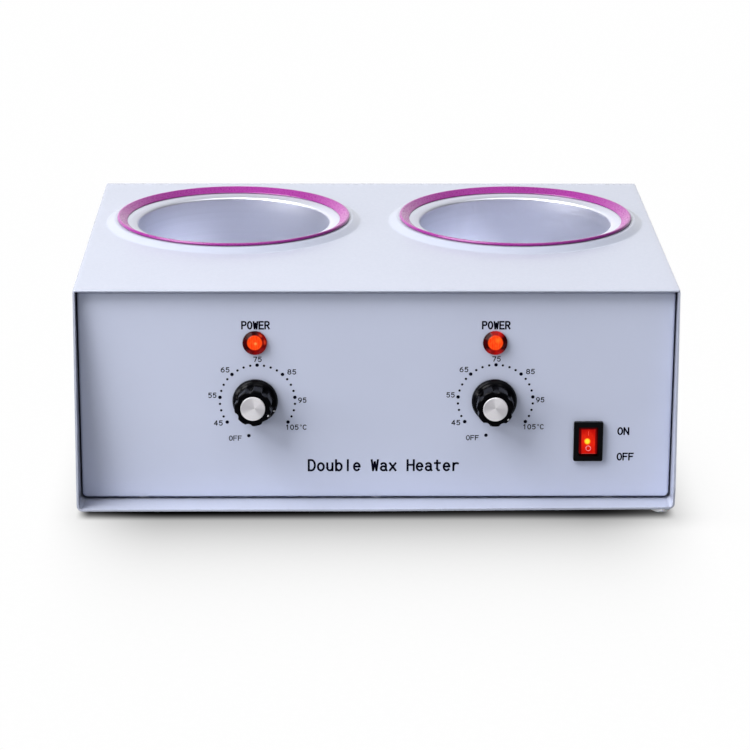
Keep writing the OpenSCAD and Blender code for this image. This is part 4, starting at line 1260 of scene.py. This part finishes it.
def build_floor(half=6):
    mesh = bpy.data.meshes.new("studio_floor")
    corners = [(-half, -half, 0), (half, -half, 0), (half, half, 0), (-half, half, 0)]
    mesh.from_pydata(corners, [], [(0, 1, 2, 3)])
    floor = bpy.data.objects.new("studio_floor", mesh)
    bpy.context.scene.collection.objects.link(floor)
    mesh.materials.append(floor_material())


def build_world():
    """White to the camera; in reflections bright at the back, middling overhead, dark in front."""
    world = bpy.data.worlds.new("studio")
    bpy.context.scene.world = world
    g = Graph(world, "ShaderNodeOutputWorld", coords="Generated")
    _, y, z = g.split(g.coords)
    ambient = g.remap(y, over=(-0.5, 0.6), to=(0.16, 0.28), smooth=True)
    back = g.remap(y, over=(0.25, 0.85), smooth=True)
    overhead = g.remap(z, over=(0.35, 0.95), to=(0.03, 0.50), smooth=True)
    g.by_ray("ShaderNodeBackground", other=((0.95, 0.97, 1.0), ambient),
             glossy=(STUDIO_WHITE, g.math("MAXIMUM", back, overhead)),
             camera=((1, 1, 1), 1.0))


def softbox(name, direction, distance, size, level, target=(0, -0.1, 0.07)):
    """Area light in a direction from the target, in metres.

    level is the light it throws on a surface facing it, 1 lighting white to full white.
    """
    toward = Vector(direction).normalized()
    light = bpy.data.lights.new(name, "AREA")
    light.shape = "RECTANGLE"
    light.size, light.size_y = size
    light.energy = level * PI * PI * distance * distance
    lamp = bpy.data.objects.new(name, light)
    lamp.location = Vector(target) + toward * distance
    lamp.rotation_mode = "QUATERNION"
    lamp.rotation_quaternion = (-toward).to_track_quat("-Z", "Y")
    bpy.context.scene.collection.objects.link(lamp)


build_floor()
build_world()
softbox("key_upper_left", (-0.593, -0.247, 0.766), distance=2.2, size=(1.6, 1.4), level=1.46)
softbox("key_low_left", (-0.89, -0.38, 0.25), distance=2.0, size=(1.0, 0.6), level=0.40)
softbox("overhead", (0.25, -0.35, 0.90), distance=1.8, size=(1.2, 0.8), level=0.19)

# ---------------------------------------------------------------- camera
CAMERA_PLACE = (-0.022028, -1.472592, 0.505262)     # metres
CAMERA_DOWN = 0.3076617                             # radians below the horizon
CAMERA_YAW = 0.0155422                              # radians from +Y towards +X
CAMERA_ROLL = 0.0043138
CAMERA_LENS = 135.426864                            # on a sensor 36 wide


def build_camera():
    sin_down, cos_down = math.sin(CAMERA_DOWN), math.cos(CAMERA_DOWN)
    sin_yaw, cos_yaw = math.sin(CAMERA_YAW), math.cos(CAMERA_YAW)
    sin_roll, cos_roll = math.sin(CAMERA_ROLL), math.cos(CAMERA_ROLL)
    forward = Vector((sin_yaw * cos_down, cos_yaw * cos_down, -sin_down))
    level_right = Vector((cos_yaw, -sin_yaw, 0))
    level_up = Vector((sin_down * sin_yaw, sin_down * cos_yaw, cos_down))
    right = level_right * cos_roll + level_up * sin_roll
    up = level_up * cos_roll - level_right * sin_roll
    data = bpy.data.cameras.new("camera")
    data.sensor_width = 36.0
    data.lens = CAMERA_LENS
    data.clip_start = 0.05
    data.clip_end = 30
    camera = bpy.data.objects.new("camera", data)
    rows = [(right[i], up[i], -forward[i], CAMERA_PLACE[i]) for i in range(3)]
    camera.matrix_world = Matrix((*rows, (0, 0, 0, 1)))
    bpy.context.scene.collection.objects.link(camera)
    bpy.context.scene.camera = camera


build_camera()
bpy.context.scene.view_settings.view_transform = "Standard"
bpy.context.scene.view_settings.look = "None"
